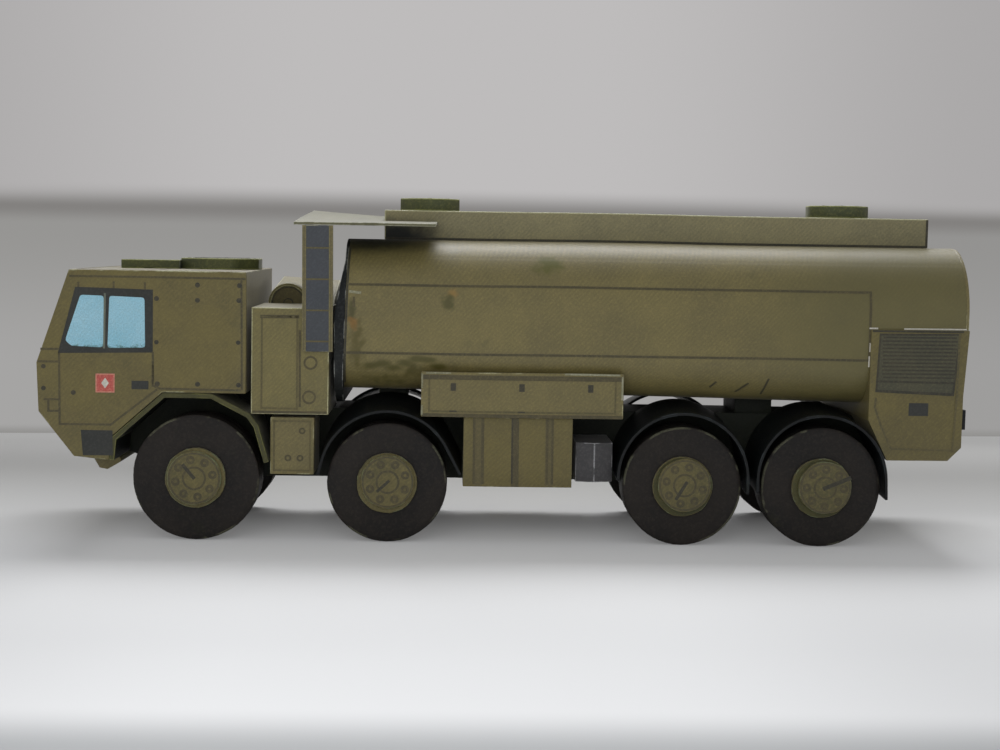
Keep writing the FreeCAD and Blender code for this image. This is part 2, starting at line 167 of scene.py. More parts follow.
def buildPrintedCard():
    # ink-jet print on card: a drifting tone, small flecks and slanting print lines
    tree, ins, outs = shaderGroup(
        "printedCard",
        [("Color", "Print", "Shade", "Fleck"),
         ("Float", "Flecks", "Hatch", "Stains", "Gloss", "Seed")],
        [("Color", "Colour"), ("Float", "Roughness", "Height")])
    here = millimetres(tree, ins["Seed"])
    drift = stretch(tree, cloud(tree, here, 0.16, 4), 0.36, 0.64)
    colour = mixColour(tree, drift, ins["Print"], ins["Shade"])
    specks = stretch(tree, cloud(tree, here, 3.6, 3, 0.6), 0.44, 0.68)
    colour = mixColour(tree, calc(tree, "MULTIPLY", specks, ins["Flecks"]), colour, ins["Fleck"])
    slant = calcVector(tree, "MULTIPLY", here, (1.0, 0.4, 1.0))[0]
    waves = addNode(tree, "ShaderNodeTexWave",
                    {"Vector": slant, "Scale": 1.25, "Distortion": 2.4, "Detail": 2.0,
                     "Detail Scale": 1.4}, wave_type="BANDS", bands_direction="DIAGONAL")
    lines = waves.outputs["Fac"]
    patchy = stretch(tree, cloud(tree, here, 0.5, 2), 0.35, 0.6, 0.35, 1.0)
    hatch = calc(tree, "MULTIPLY", calc(tree, "MULTIPLY", lines, ins["Hatch"]), patchy)
    colour = mixColour(tree, hatch, colour, tone(40, 40, 30))
    grain = cloud(tree, here, 7.0, 2, 0.7)
    lift = stretch(tree, grain, 0.25, 0.75, 0.86, 1.14)
    grey = addNode(tree, "ShaderNodeCombineColor", {0: lift, 1: lift, 2: lift}).outputs[0]
    colour = mixColour(tree, 1.0, colour, grey, "MULTIPLY")
    stain = stretch(tree, cloud(tree, here, 0.32, 5, 0.6), 0.62, 0.72)
    stain = calc(tree, "MULTIPLY", stain, ins["Stains"])
    colour = mixColour(tree, stain, colour, mixColour(tree, 0.5, colour, tone(60, 62, 30)))
    tree.links.new(colour, outs["Colour"])
    matt = stretch(tree, grain, 0.2, 0.8, 0.48, 0.68)
    matt = calc(tree, "SUBTRACT", matt, calc(tree, "MULTIPLY", stain, 0.15))
    tree.links.new(calc(tree, "SUBTRACT", matt, ins["Gloss"]), outs["Roughness"])
    bumps = calc(tree, "ADD", grain, calc(tree, "MULTIPLY", lines, 0.35))
    tree.links.new(bumps, outs["Height"])
    return tree


def buildWornPaper():
    # raw paper that shows through the print in broken stretches
    tree, ins, outs = shaderGroup(
        "wornPaper", [("Color", "Colour", "Paper"), ("Float", "Wear", "Length", "Seed")],
        [("Color", "Colour")])
    here = millimetres(tree, ins["Seed"])
    broken = cloud(tree, here, calc(tree, "DIVIDE", 1.0, ins["Length"]), 3, 0.6)
    limit = calc(tree, "SUBTRACT", 0.72, calc(tree, "MULTIPLY", ins["Wear"], 0.4))
    mask = stretch(tree, calc(tree, "SUBTRACT", broken, limit), -0.03, 0.07)
    speck = stretch(tree, cloud(tree, here, 5.0, 2), 0.3, 0.6, 0.45, 1.0)
    mask = calc(tree, "MULTIPLY", mask, speck)
    tree.links.new(mixColour(tree, mask, ins["Colour"], ins["Paper"]), outs["Colour"])
    return tree


def buildGlueAndShadeSpot():
    # a soft-edged spot of colour: glue on card, and also painted shadow and painted shade
    tree, ins, outs = shaderGroup(
        "glueAndShadeSpot", [("Vector", "Centre", "Size"), ("Float", "Strength", "Ragged")],
        [("Float", "Mask")])
    here = millimetres(tree)
    wander = addNode(tree, "ShaderNodeTexNoise", {"Vector": here, "Scale": 1.1, "Detail": 4.0})
    wander = calcVector(tree, "SUBTRACT", wander.outputs["Color"], (0.5, 0.5, 0.5))[0]
    away = calcVector(tree, "SUBTRACT", here, ins["Centre"])[0]
    ratio = calcVector(tree, "DIVIDE", away, ins["Size"])[0]
    bent = calcVector(tree, "MULTIPLY_ADD", wander, ins["Ragged"], ratio)[0]
    mask = stretch(tree, calcVector(tree, "LENGTH", bent)["Value"], 1.35, 0.35)
    tree.links.new(calc(tree, "MULTIPLY", mask, ins["Strength"]), outs["Mask"])
    return tree


printedCard = buildPrintedCard()
wornPaper = buildWornPaper()
glueAndShadeSpot = buildGlueAndShadeSpot()

# what each card is printed or painted with: colours as a screen shows them
plainCard = {"flecks": 0.3, "hatch": 0.15, "stains": 0.4, "gloss": 0.0, "bump": 0.3,
             "shine": 0.5, "sheen": 0.08, "coat": 0.42}
dullCard = {"sheen": 0.0, "coat": 0.0}
finishes = {
    "olive": {"print": (122, 112, 68), "shade": (113, 104, 65), "fleck": (146, 133, 80),
              "paper": (170, 168, 130), "wear": 0.42, "length": 3.2},
    "litOlive": {"print": (121, 112, 66), "shade": (112, 104, 63), "fleck": (145, 133, 77),
                 "paper": (182, 180, 140), "wear": 0.95, "length": 6.0},
    "topOlive": {"print": (142, 135, 99), "shade": (132, 126, 94), "fleck": (162, 153, 108),
                 "paper": (182, 180, 140), "wear": 0.95, "length": 6.0},
    # the tank's front plate: dark card, made darker still as painted shade
    "endPlate": {"print": (30, 32, 32), "shade": (22, 25, 27), "fleck": (50, 52, 52),
                 "paper": (128, 130, 126), "wear": 0.5, "length": 2.4,
                 "flecks": 0.6, "hatch": 0.1, "stains": 0.3, "shine": 0.3, **dullCard},
    # painted shade: olive a little darker, for the cab, its lip, the storage boxes and the rear cabinet
    "shadedOlive": {"print": (110, 100, 54), "shade": (102, 93, 53), "fleck": (133, 120, 66),
                  "paper": (160, 158, 122), "wear": 0.42, "length": 3.2},
    # painted shade: a dark olive for the front mudguard and the rear hubs' lower disc
    "guardShadeOlive": {"print": (76, 74, 36), "shade": (64, 64, 33), "fleck": (96, 92, 46),
                   "paper": (122, 122, 66), "wear": 0.6, "length": 4.0, "coat": 0.15},
    # painted shade: a near-black olive for the frame and the saddles, which sit in shadow
    "shadowOlive": {"print": (30, 34, 25), "shade": (24, 28, 22), "fleck": (40, 43, 30),
                  "paper": (92, 94, 68), "wear": 0.4, "length": 1.8,
                  "flecks": 0.4, "shine": 0.35, **dullCard},
    "hatchGreen": {"print": (90, 94, 54), "shade": (74, 80, 49), "fleck": (114, 116, 67),
                   "paper": (146, 150, 88), "wear": 0.9, "length": 4.0,
                   "flecks": 0.5, "hatch": 0.1, "stains": 0.5, "bump": 0.35, "coat": 0.15},
    "plate": {"print": (106, 104, 76), "shade": (95, 94, 69), "fleck": (120, 116, 85),
              "paper": (158, 158, 136), "wear": 0.8, "length": 3.0,
              "flecks": 0.4, "hatch": 0.12, "coat": 0.1},
    "black": {"print": (18, 21, 22), "shade": (13, 16, 18), "fleck": (28, 32, 33),
              "paper": (54, 62, 66), "wear": 0.4, "length": 3.0,
              "flecks": 0.5, "hatch": 0.0, "stains": 0.2, "gloss": 0.12, "shine": 0.35, **dullCard},
    "tyre": {"print": (39, 35, 32), "shade": (31, 29, 28), "fleck": (54, 48, 43),
             "paper": (88, 88, 72), "wear": 0.45, "length": 2.6, "flecks": 0.45, "hatch": 0.0,
             "stains": 0.3, "gloss": 0.04, "bump": 0.5, "shine": 0.3, **dullCard},
    "hub": {"print": (106, 98, 60), "shade": (92, 87, 55), "fleck": (128, 117, 70),
            "paper": (118, 126, 92), "wear": 0.5, "length": 1.6,
            "flecks": 0.5, "stains": 0.5, "coat": 0.15},
    "ladder": {"print": (65, 69, 75), "shade": (58, 63, 69), "fleck": (78, 83, 88),
               "paper": (140, 140, 116), "wear": 0.6, "length": 1.5,
               "flecks": 0.4, "hatch": 0.12, "stains": 0.2},
    "grey": {"print": (64, 62, 63), "shade": (55, 54, 56), "fleck": (84, 81, 82),
             "paper": (142, 142, 144), "wear": 0.7, "length": 2.4,
             "flecks": 0.5, "hatch": 0.12, "stains": 0.3, "gloss": 0.08},
}


def cardMaterial(name, finish, seed, worn=False, spots=()):
    finish = {**plainCard, **finish}
    material = bpy.data.materials.new(name)
    material.use_nodes = True
    tree = material.node_tree
    shader = tree.nodes["Principled BSDF"]
    for label, value in (("Specular IOR Level", finish["shine"]), ("Sheen Weight", finish["sheen"]),
                         ("Sheen Roughness", 0.3), ("Coat Weight", finish["coat"]),
                         ("Coat Roughness", 0.42)):
        shader.inputs[label].default_value = value
    values = {label: tone(*finish[label.lower()]) for label in ("Print", "Shade", "Fleck")}
    for label in ("Flecks", "Hatch", "Stains", "Gloss"):
        values[label] = finish[label.lower()]
    printed = addNode(tree, "ShaderNodeGroup", {**values, "Seed": seed},
                      node_tree=printedCard).outputs
    colour = printed["Colour"]
    for centre, size, spotColour, strength, ragged in spots:
        spot = addNode(tree, "ShaderNodeGroup", {"Centre": centre, "Size": size,
                                                 "Strength": strength, "Ragged": ragged},
                       node_tree=glueAndShadeSpot)
        colour = mixColour(tree, spot.outputs["Mask"], colour, tone(*spotColour))
    if worn:
        colour = addNode(tree, "ShaderNodeGroup",
                         {"Colour": colour, "Paper": tone(*finish["paper"]),
                          "Wear": finish["wear"], "Length": finish["length"], "Seed": seed + 7},
                         node_tree=wornPaper).outputs["Colour"]
    bump = addNode(tree, "ShaderNodeBump", {"Height": printed["Height"],
                                            "Strength": finish["bump"], "Distance": 0.03 * mm})
    for label, socket in (("Base Color", colour), ("Roughness", printed["Roughness"]),
                          ("Normal", bump.outputs["Normal"])):
        tree.links.new(socket, shader.inputs[label])
    return material


# each card as printed, and as it shows raw paper along its folds
cards = {name: [cardMaterial(name + "Card", finish, seed * 3.7),
                cardMaterial(name + "Fold", finish, seed * 3.7, worn=True)]
         for seed, (name, finish) in enumerate(finishes.items())}

# spots on the tank, most of them glue, two of them painted shade: back and down from the tube's front
# top, size, colour, strength, edge
tankGlueAndShade = [
    ((21.3, 2.4), (1.5, 12.0, 0.95), (90, 89, 30), 0.95, 2.2),
    # painted shadow of the platform over the tube's front top
    ((2.0, 0.1), (8.0, 14.0, 1.4), (30, 32, 22), 0.92, 0.5),
    ((11.35, 5.5), (0.6, 3.0, 0.6), (146, 116, 58), 0.75, 2.2),
    ((10.9, 6.5), (0.6, 3.0, 0.9), (74, 72, 30), 0.8, 2.2),
    ((0.9, 7.4), (0.4, 3.0, 1.2), (70, 68, 30), 0.85, 2.2),
    ((1.1, 8.6), (0.5, 3.0, 0.7), (140, 100, 42), 0.85, 2.2),
    ((1.5, 10.9), (0.9, 3.0, 2.8), (86, 78, 30), 0.85, 2.2),
    ((7.2, 13.6), (1.0, 3.0, 0.9), (78, 72, 26), 0.85, 2.2),
    ((4.8, 14.8), (3.6, 3.0, 0.7), (74, 70, 26), 0.7, 2.2),
    # painted shade: the tube's side darker towards its rear
    ((58.0, 8.0), (14.0, 16.0, 14.0), (100, 95, 56), 0.7, 0.4),
]
glueTrail = [(2.9, 13.15), (4.1, 12.88), (5.3, 13.35), (6.5, 12.8), (7.7, 12.32), (8.9, 12.42),
             (10.0, 13.1)]
tankGlueAndShade += [(place, (0.95, 3.0, 0.42), (76, 72, 22), 0.85, 0.8) for place in glueTrail]
tubeHigh = span("tank_body")[1]
placedSpots = [((tubeHigh.x - back, tubeHigh.y, tubeHigh.z - down), *rest)
               for (back, down), *rest in tankGlueAndShade]
cards["tank"] = [cardMaterial("tankCard", finishes["olive"], 31.0, spots=placedSpots),
                 cards["olive"][1]]
boxLow, boxHigh = span("tank_top_box")
# painted shadow of the platform, low on the front of the top box's side
platformShadow = ((boxHigh.x - 0.6, boxHigh.y, boxLow.z), (5.4, 8.0, 2.3), (24, 27, 22), 1.0, 0.5)
cards["topBox"] = [cardMaterial("topBoxCard", finishes["topOlive"], 27.0, spots=[platformShadow]),
                   cards["topOlive"][1]]

# printed marks: the ink, a darker shade of it, its flecks and their share
inks = {
    "dark": ((64, 61, 48), (54, 53, 44), (88, 82, 60), 0.5),
    "faint": ((84, 77, 52), (76, 71, 50), (102, 93, 62), 0.6),
    "soft": ((98, 90, 58), (90, 84, 56), (114, 105, 68), 0.6),
    "grey": ((52, 53, 50), (44, 46, 44), (68, 69, 64), 0.4),
    "glass": ((160, 208, 226), (144, 200, 220), (178, 212, 222), 0.2),
    "red": ((203, 98, 86), (188, 86, 78), (218, 134, 118), 0.5),
    "cream": ((206, 138, 118), (196, 124, 106), (220, 170, 148), 0.5),
    "white": ((214, 210, 198), (198, 196, 184), (232, 228, 218), 0.4),
    "olive": ((118, 110, 74), (106, 100, 70), (142, 130, 86), 0.5),
    "lamp": ((150, 58, 48), (128, 50, 42), (180, 84, 60), 0.4),
    "shutter": ((84, 82, 62), (74, 74, 58), (102, 98, 72), 0.5),
    "scuff": ((148, 148, 122), (124, 121, 92), (176, 174, 152), 0.6),
    "pillar": ((112, 118, 104), (92, 98, 88), (128, 134, 116), 0.4),
}
inkOrder = list(inks)
inkList = []
for seed, (name, row) in enumerate(inks.items()):
    ink = dict(zip(("print", "shade", "fleck", "flecks"), row))
    inkList.append(cardMaterial(name + "Ink", {**ink, "hatch": 0.06, "stains": 0.2, "coat": 0.15},
                                50 + seed * 2.3))

smudge = {"sill": 9.1, "rise": 1.9, "soft": 0.45, "strength": 0.75, "colour": (52, 92, 78)}


def muddyGlass(material):
    # the printed panes are smudged green along their lower edge
    tree = material.node_tree
    baseColour = tree.nodes["Principled BSDF"].inputs["Base Color"]
    here = millimetres(tree)
    height = addNode(tree, "ShaderNodeSeparateXYZ", {0: here}).outputs["Z"]
    wave = calc(tree, "MULTIPLY", cloud(tree, here, 1.6, 4, 0.7), smudge["rise"])
    edge = calc(tree, "ADD", wave, span("cab_shell")[1].z - smudge["sill"])
    share = stretch(tree, calc(tree, "SUBTRACT", height, edge), smudge["soft"], 0.0,
                    0.0, smudge["strength"])
    colour = baseColour.links[0].from_socket
    tree.links.new(mixColour(tree, share, colour, tone(*smudge["colour"])), baseColour)


muddyGlass(inkList[inkOrder.index("glass")])
wood = {"print": (150, 118, 78), "shade": (132, 100, 64), "fleck": (170, 140, 96), "flecks": 0.6,
        "hatch": 0.1}
rodMaterial = cardMaterial("rodWood", wood, 90)
print("materials ready")


# card pieces: the CAD shape with folded edges and the slight warp of hand work

handWork = {
    "warp": 0.075,           # how far a surface strays
    "reach": 0.06,           # waves per millimetre, about
    "rodRoom": (1.5, 4.5),   # no warp nearer to a rod than this, and all of it beyond that
    "cell": 2.0,             # the grid that lets flat card bend
    "seed": 4,               # of the noise that the warp follows
    "sharp": 24,             # degrees, above which an edge is a fold
    "flat": 0.6,             # degrees, below which two faces are one
}
noise.seed_set(handWork["seed"])
rods = [(low + high) / 2 for low, high in (span("axle_%d" % number) for number in range(1, 5))]


def handWarp(point):
    # a rod turns in its bore, so the card keeps its shape there
    near = min(math.hypot(point.x - rod.x, point.z - rod.z) for rod in rods)
    start, full = handWork["rodRoom"]
    share = min(max((near - start) / (full - start), 0), 1)
    return point + noise.noise_vector(point * handWork["reach"]) * handWork["warp"] * share


def gridCut(bm, cell):
    # every piece is cut on the same planes, so that pieces which touch bend alike
    for axis in range(3):
        reach = [v.co[axis] for v in bm.verts]
        normal = Vector([1.0 if i == axis else 0.0 for i in range(3)])
        for step in range(math.ceil(min(reach) / cell), math.floor(max(reach) / cell) + 1):
            bmesh.ops.bisect_plane(bm, geom=bm.verts[:] + bm.edges[:] + bm.faces[:], dist=1e-4,
                                   plane_co=normal * (step * cell), plane_no=normal)


def finishMesh(bm, name, materials, warp=True, smooth=26):
    if warp:
        gridCut(bm, handWork["cell"])
        for v in bm.verts:
            v.co = handWarp(v.co)
    bmesh.ops.scale(bm, vec=(mm, mm, mm), verts=bm.verts)
    mesh = bpy.data.meshes.new(name)
    bm.to_mesh(mesh)
    bm.free()
    for material in materials:
        mesh.materials.append(material)
    mesh.shade_smooth()
    mesh.set_sharp_from_angle(angle=math.radians(smooth))
    piece = bpy.data.objects.new(name, mesh)
    scene.collection.objects.link(piece)
    return piece


def standIn(bm, node, body, *looks):
    piece = finishMesh(bm, node + "_card", *looks)
    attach(piece, body)
    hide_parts(node)


def foldedCard(node, card, fold, wheel=None):
    bm = bmesh.new()
    bm.from_mesh(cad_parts[node].data)
    bmesh.ops.scale(bm, vec=(1 / mm,) * 3, verts=bm.verts)
    bmesh.ops.remove_doubles(bm, verts=bm.verts, dist=5e-4)
    bmesh.ops.dissolve_limit(bm, angle_limit=math.radians(handWork["flat"]), verts=bm.verts,
                             edges=bm.edges)
    for face in bm.faces:
        # the side that faces the wheel gets the black card, as painted deep shade
        away = Vector((0, 0, 0)) if wheel is None else wheel - face.calc_center_median()
        inside = abs(face.normal.y) < 0.5 and face.normal.dot(away) > 0
        face.material_index = 2 if inside else 0
    limit = math.radians(handWork["sharp"])
    folds = [e for e in bm.edges if len(e.link_faces) == 2 and e.calc_face_angle(0) > limit]
    if "hatch" in node or "vent" in node:
        # a lid is folded only along its level edges
        folds = [e for e in folds if abs(e.verts[0].co.z - e.verts[1].co.z) < 0.1]
    bmesh.ops.bevel(bm, geom=folds, offset=fold, offset_type="OFFSET", segments=2, profile=0.6,
                    affect="EDGES", clamp_overlap=True, material=1)
    # black card on the side that faces the wheel: painted shade
    shade = [cards["black"][0]] if wheel else []
    standIn(bm, node, "root", cards[card] + shade)


# node, card and the width of its folds
cardPieces = [
    ("cab_shell", "shadedOlive", 0.14), ("front_lip", "shadedOlive", 0.08),
    ("cab_roof_vent", "hatchGreen", 0.1), ("cab_roof_hatch", "hatchGreen", 0.12),
    ("tall_box_left", "litOlive", 0.12), ("tall_box_right", "litOlive", 0.12),
    ("filter_drum", "litOlive", 0.06), ("front_brace", "olive", 0.05),
    ("frame", "shadowOlive", 0.1), ("ladder", "ladder", 0.08), ("platform", "plate", 0.07),
    ("tank_body", "tank", 0.1), ("tank_end_front", "endPlate", 0.1),
    ("tank_end_rear", "olive", 0.1), ("tank_top_box", "topBox", 0.13),
    ("hatch_front", "hatchGreen", 0.14), ("hatch_rear", "hatchGreen", 0.14),
    ("tank_saddles", "shadowOlive", 0.08), ("rear_cabinet", "shadedOlive", 0.13),
    ("rear_lamps", "black", 0.07),
]
pairedPieces = [
    ("front_mudguard", "guardShadeOlive", 0.07), ("lower_box", "olive", 0.1),
    ("side_locker", "olive", 0.13), ("storage_box", "shadedOlive", 0.1), ("small_tank", "grey", 0.08),
    ("mudguard_2", "black", 0.07), ("mudguard_3", "black", 0.07), ("mudguard_4", "black", 0.07),
]
cardPieces += [(stem + "_" + side, card, fold)
               for stem, card, fold in pairedPieces for side in sides]
for node, card, fold in cardPieces:
    foldedCard(node, card, fold, rods[0] if node.startswith("front_mudguard") else None)
print("card pieces folded")


# wheels: layered card discs, cut by hand

tyreCut = {
    "facets": 52, "layers": 4, "bore": 0.93,
    "wander": 0.07,    # how far the scissors stray inwards
    # the outer rim's steps: in from the face, in from the tread, worn after it
    "rim": ((0.0, 0.6, 0), (0.04, 0.24, 1), (0.15, 0.05, 1), (0.3, 0.0, 0)),
    "crush": 0.07,     # the edge of each layer
    "groove": 0.05,    # between two layers
    "innerRim": 0.1,
    "sharp": 32,       # degrees, above which an edge stays sharp
}
hubCut = {
    "facets": 30, "wander": 0.13, "baseRadius": 3.2, "capRadius": 2.85, "rim": 0.07,
    "tuck": 0.02,      # how far a disc's foot draws in, and the cap sinks into the base
    "sharp": 30,
    "capShift": {1: (0.05, 0.05), 2: (-0.1, 0.2), 3: (-0.15, 0.22), 4: (-0.3, 0.08)},
}


def ringOfPoints(bm, centre, y, radius, facets, wander, seed):
    points = []
    for i in range(facets):
        angle = 2 * math.pi * i / facets
        around = Vector((math.cos(angle), math.sin(angle), seed))
        cut = abs(noise.noise(around * 1.7)) + 0.5 * abs(noise.noise(around * 5.3))
        r = radius - wander * min(cut, 1.0)
        points.append(bm.verts.new((centre.x + r * math.cos(angle), y,
                                    centre.z + r * math.sin(angle))))
    return points


def strip(bm, first, second, material):
    # faces all round between two closed rows of points
    for i in range(len(first)):
        j = (i + 1) % len(first)
        bm.faces.new((first[i], first[j], second[j], second[i])).material_index = material


def buildTyre(number, side):
    node = "tyre_%d_%s" % (number, side)
    low, high = span(node)
    centre = (low + high) / 2
    radius = (high.z - low.z) / 2
    sign = sides[side]
    outer, inner = (high.y, low.y) if sign > 0 else (low.y, high.y)
    layers, crush, wander = (tyreCut[k] for k in ("layers", "crush", "wander"))
    depth = (outer - inner) / layers
    # rows from the outer bore round to the inner one: y, radius, wander, layer, worn after it
    rows = [(outer, tyreCut["bore"], 0, 0, 0)]
    rows += [(outer - sign * back, radius - down, wander, 0, worn)
             for back, down, worn in tyreCut["rim"]]
    for layer in range(layers):
        if layer:
            groove = outer - depth * layer
            rows += [(groove, radius - tyreCut["groove"] - crush, 0, layer, 0),
                     (groove - sign * crush, radius, wander, layer, 0)]
        end = outer - depth * (layer + 1)
        rows.append((end + sign * crush, radius, wander, layer, layer == layers - 1))
    rows += [(inner, radius - tyreCut["innerRim"], wander, layers - 1, 0),
             (inner, tyreCut["bore"], 0, 0, 0)]
    bm = bmesh.new()
    rings = [ringOfPoints(bm, centre, y, r, tyreCut["facets"], stray,
                          number * 2.7 + sign + 3.1 * layer)
             for y, r, stray, layer, _ in rows]
    for (*_, worn), first, second in zip(rows, rings, rings[1:] + rings[:1]):
        strip(bm, first, second, int(worn))
    bmesh.ops.recalc_face_normals(bm, faces=bm.faces)
    standIn(bm, node, "wheelset_%d" % number, cards["tyre"], False, tyreCut["sharp"])


def disc(bm, centre, y0, y1, radius, seed, face=0):
    # a disc of card from y0 to its outer face y1, its outer rim a little crushed
    sign = 1 if y1 > y0 else -1
    rim = hubCut["rim"]
    rows = ((y0, radius - hubCut["tuck"]), (y1 - sign * rim, radius), (y1, radius - rim))
    rings = [ringOfPoints(bm, centre, y, r, hubCut["facets"], hubCut["wander"], seed)
             for y, r in rows]
    for first, second in zip(rings, rings[1:]):
        strip(bm, first, second, 1)
    bm.faces.new(rings[0]).material_index = 0
    bm.faces.new(rings[-1]).material_index = face


def buildHub(number, side):
    node = "hub_%d_%s" % (number, side)
    low, high = span(node)
    sign = sides[side]
    tyreLow, tyreHigh = span("tyre_%d_%s" % (number, side))
    centre = (tyreLow + tyreHigh) / 2
    face, top = (low.y, high.y) if sign > 0 else (high.y, low.y)
    step = (face + top) / 2
    forwards, up = hubCut["capShift"][number]
    capCentre = centre + Vector((forwards, 0, up))
    bm = bmesh.new()
    disc(bm, centre, face, step, hubCut["baseRadius"], number + sign * 0.4,
         2 if number > 2 else 0)     # the rear hubs' lower disc is darker, as painted shade
    disc(bm, capCentre, step - sign * hubCut["tuck"], top, hubCut["capRadius"],
         number * 1.9 + sign)
    bmesh.ops.recalc_face_normals(bm, faces=bm.faces)
    standIn(bm, node, "wheelset_%d" % number, cards["hub"] + [cards["guardShadeOlive"][0]], False,
            hubCut["sharp"])
    return Vector((capCentre.x, top, capCentre.z)), sign


hubFaces = {}
for number in hubCut["capShift"]:
    for side in sides:
        buildTyre(number, side)
        hubFaces[number, side] = buildHub(number, side)
    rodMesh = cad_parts["axle_%d" % number].data
    rodMesh.materials.clear()
    rodMesh.materials.append(rodMaterial)
print("wheels cut")


# printed marks: ink with a hair of thickness on the card

hair = 0.022     # how far ink stands up; what is printed over it stands a little higher
sink = 0.04      # how far it reaches into the card


def tape(bm, points, outs, width, ink, lift=hair):
    # a drawn line along the points; outs is the way that each point faces
    points = [Vector(p) for p in points]
    outs = [Vector(o) for o in outs] if isinstance(outs, list) else [Vector(outs)] * len(points)
    rows = []
    for i, (point, out) in enumerate(zip(points, outs)):
        along = (points[min(i + 1, len(points) - 1)] - points[max(i - 1, 0)]).normalized()
        across = along.cross(out).normalized() * width / 2
        end = along * (width / 2) * ((i == len(points) - 1) - (i == 0))
        top, deep = out * lift, out * sink
        rows.append([bm.verts.new(point + end + step) for step in
                     (across + top, top - across, -across - deep, across - deep)])
    for row in (rows[0][::-1], rows[-1]):
        bm.faces.new(row).material_index = inkOrder.index(ink)
    for first, second in zip(rows, rows[1:]):
        strip(bm, first, second, inkOrder.index(ink))


def flatFace(bm, corner, along, down, out):
    # a flat face to print on: its points are given along it and down it from a corner
    corner, along, down = Vector(corner), Vector(along), Vector(down)
    return bm, lambda point: corner + along * point[0] + down * point[1], Vector(out).normalized()


def sideFace(bm, node, side, drop=0):
    # a node's left or right side: points are back from its front and down from its top
    low, high = span(node)
    corner = (high.x, high.y if side == "left" else low.y, high.z - drop)
    return flatFace(bm, corner, (-1, 0, 0), (0, 0, -1), (0, sides[side], 0))


def sideSize(node):
    low, high = span(node)
    return high.x - low.x, high.z - low.z


def topFace(bm, node):
    # a node's top: points are back from its front and left from its middle
    low, high = span(node)
    return flatFace(bm, (high.x, (low.y + high.y) / 2, high.z), (-1, 0, 0), (0, 1, 0), (0, 0, 1))


def rearFace(bm, node):
    # a node's rear: points are left from its middle and up from its foot
    low, _ = span(node)
    return flatFace(bm, (low.x, 0, low.z), (0, 1, 0), (0, 0, 1), (-1, 0, 0))


def line(face, points, width, ink, lift=hair):
    # a drawn line in straight stretches
    bm, at, out = face
    for first, second in zip(points, points[1:]):
        tape(bm, [at(first), at(second)], out, width, ink, lift)


def outline(face, points, width, ink, lift=hair):
    line(face, points + points[:1], width, ink, lift)


def box(x0, y0, x1, y1):
    return [(x0, y0), (x1, y0), (x1, y1), (x0, y1)]


def boxRound(x, y, halfX, halfY):
    return box(x - halfX, y - halfY, x + halfX, y + halfY)


def rounded(points, radius):
    # the outline with each corner softened by three points
    soft = []
    for before, here, after in zip(points[-1:] + points[:-1], points, points[1:] + points[:1]):
        corner = Vector(here)
        start = corner + (Vector(before) - corner).normalized() * radius
        end = corner + (Vector(after) - corner).normalized() * radius
        soft += [start, (start + end + 2 * corner) / 4, end]
    return soft


def fill(face, points, ink, lift=hair):
    # a filled shape
    bm, at, out = face
    top = [bm.verts.new(at(p) + out * lift) for p in points]
    deep = [bm.verts.new(at(p) - out * sink) for p in points]
    for row in (top, deep[::-1]):
        bm.faces.new(row).material_index = inkOrder.index(ink)
    strip(bm, deep, top, inkOrder.index(ink))


def ring(face, centre, radius, width, ink, lift=hair, facets=28):
    # one drawn ring
    bm, at, out = face
    first = out.orthogonal().normalized()
    second = out.cross(first)
    rows = []
    for i in range(facets):
        angle = 2 * math.pi * i / facets
        way = first * math.cos(angle) + second * math.sin(angle)
        rows.append([bm.verts.new(at(centre) + way * (radius + step) + out * rise) for step, rise in
                     ((-width / 2, lift), (width / 2, lift), (width / 2, -sink),
                      (-width / 2, -sink))])
    for row, after in zip(rows, rows[1:] + rows[:1]):
        strip(bm, row, after, inkOrder.index(ink))


def printPiece(name, bm, body="root", warp=True):
    bmesh.ops.recalc_face_normals(bm, faces=bm.faces)
    used = sorted({face.material_index for face in bm.faces})
    for face in bm.faces:
        face.material_index = used.index(face.material_index)
    piece = finishMesh(bm, name, [inkList[i] for i in used], warp, 30)
    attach(piece, body)


# what repeats on the print is laid out by Geometry Nodes

def nodeTree(name, **inputs):
    tree = bpy.data.node_groups.new(name, "GeometryNodeTree")
    tree.interface.new_socket("Geometry", in_out="INPUT", socket_type="NodeSocketGeometry")
    for label, value in inputs.items():
        kind = "NodeSocketInt" if isinstance(value, int) else "NodeSocketFloat"
        tree.interface.new_socket(label, in_out="INPUT", socket_type=kind).default_value = value
    tree.interface.new_socket("Ink", in_out="INPUT", socket_type="NodeSocketMaterial")
    tree.interface.new_socket("Geometry", in_out="OUTPUT", socket_type="NodeSocketGeometry")
    return tree, tree.nodes.new("NodeGroupInput").outputs


def closeTree(tree, ins, **spread):
    # the copies on their points, made real and inked
    copies = addNode(tree, "GeometryNodeInstanceOnPoints", spread)
    real = addNode(tree, "GeometryNodeRealizeInstances", {"Geometry": copies.outputs[0]})
    inked = addNode(tree, "GeometryNodeSetMaterial", {"Geometry": real.outputs[0],
                                                      "Material": ins["Ink"]})
    tree.links.new(inked.outputs[0], tree.nodes.new("NodeGroupOutput").inputs[0])
    return tree


def unevenShare(tree, ins):
    # a random share, from 1 less the unevenness to 1
    low = calc(tree, "SUBTRACT", 1.0, ins["Uneven"])
    return addNode(tree, "FunctionNodeRandomValue", {2: low, 3: 1.0, "Seed": ins["Seed"]},
                   data_type="FLOAT").outputs[1]


def buildDotTree():
    # a small printed dot at every point, each a little off its size
    tree, ins = nodeTree("printedDots", Radius=0.28, Thickness=0.06, Uneven=0.15, Seed=3)
    dot = addNode(tree, "GeometryNodeMeshCylinder", {"Vertices": 10, "Radius": ins["Radius"],
                                                     "Depth": ins["Thickness"]})
    return closeTree(tree, ins, Points=ins["Geometry"], Instance=dot.outputs["Mesh"],
                     Rotation=(math.pi / 2, 0, 0), Scale=unevenShare(tree, ins))


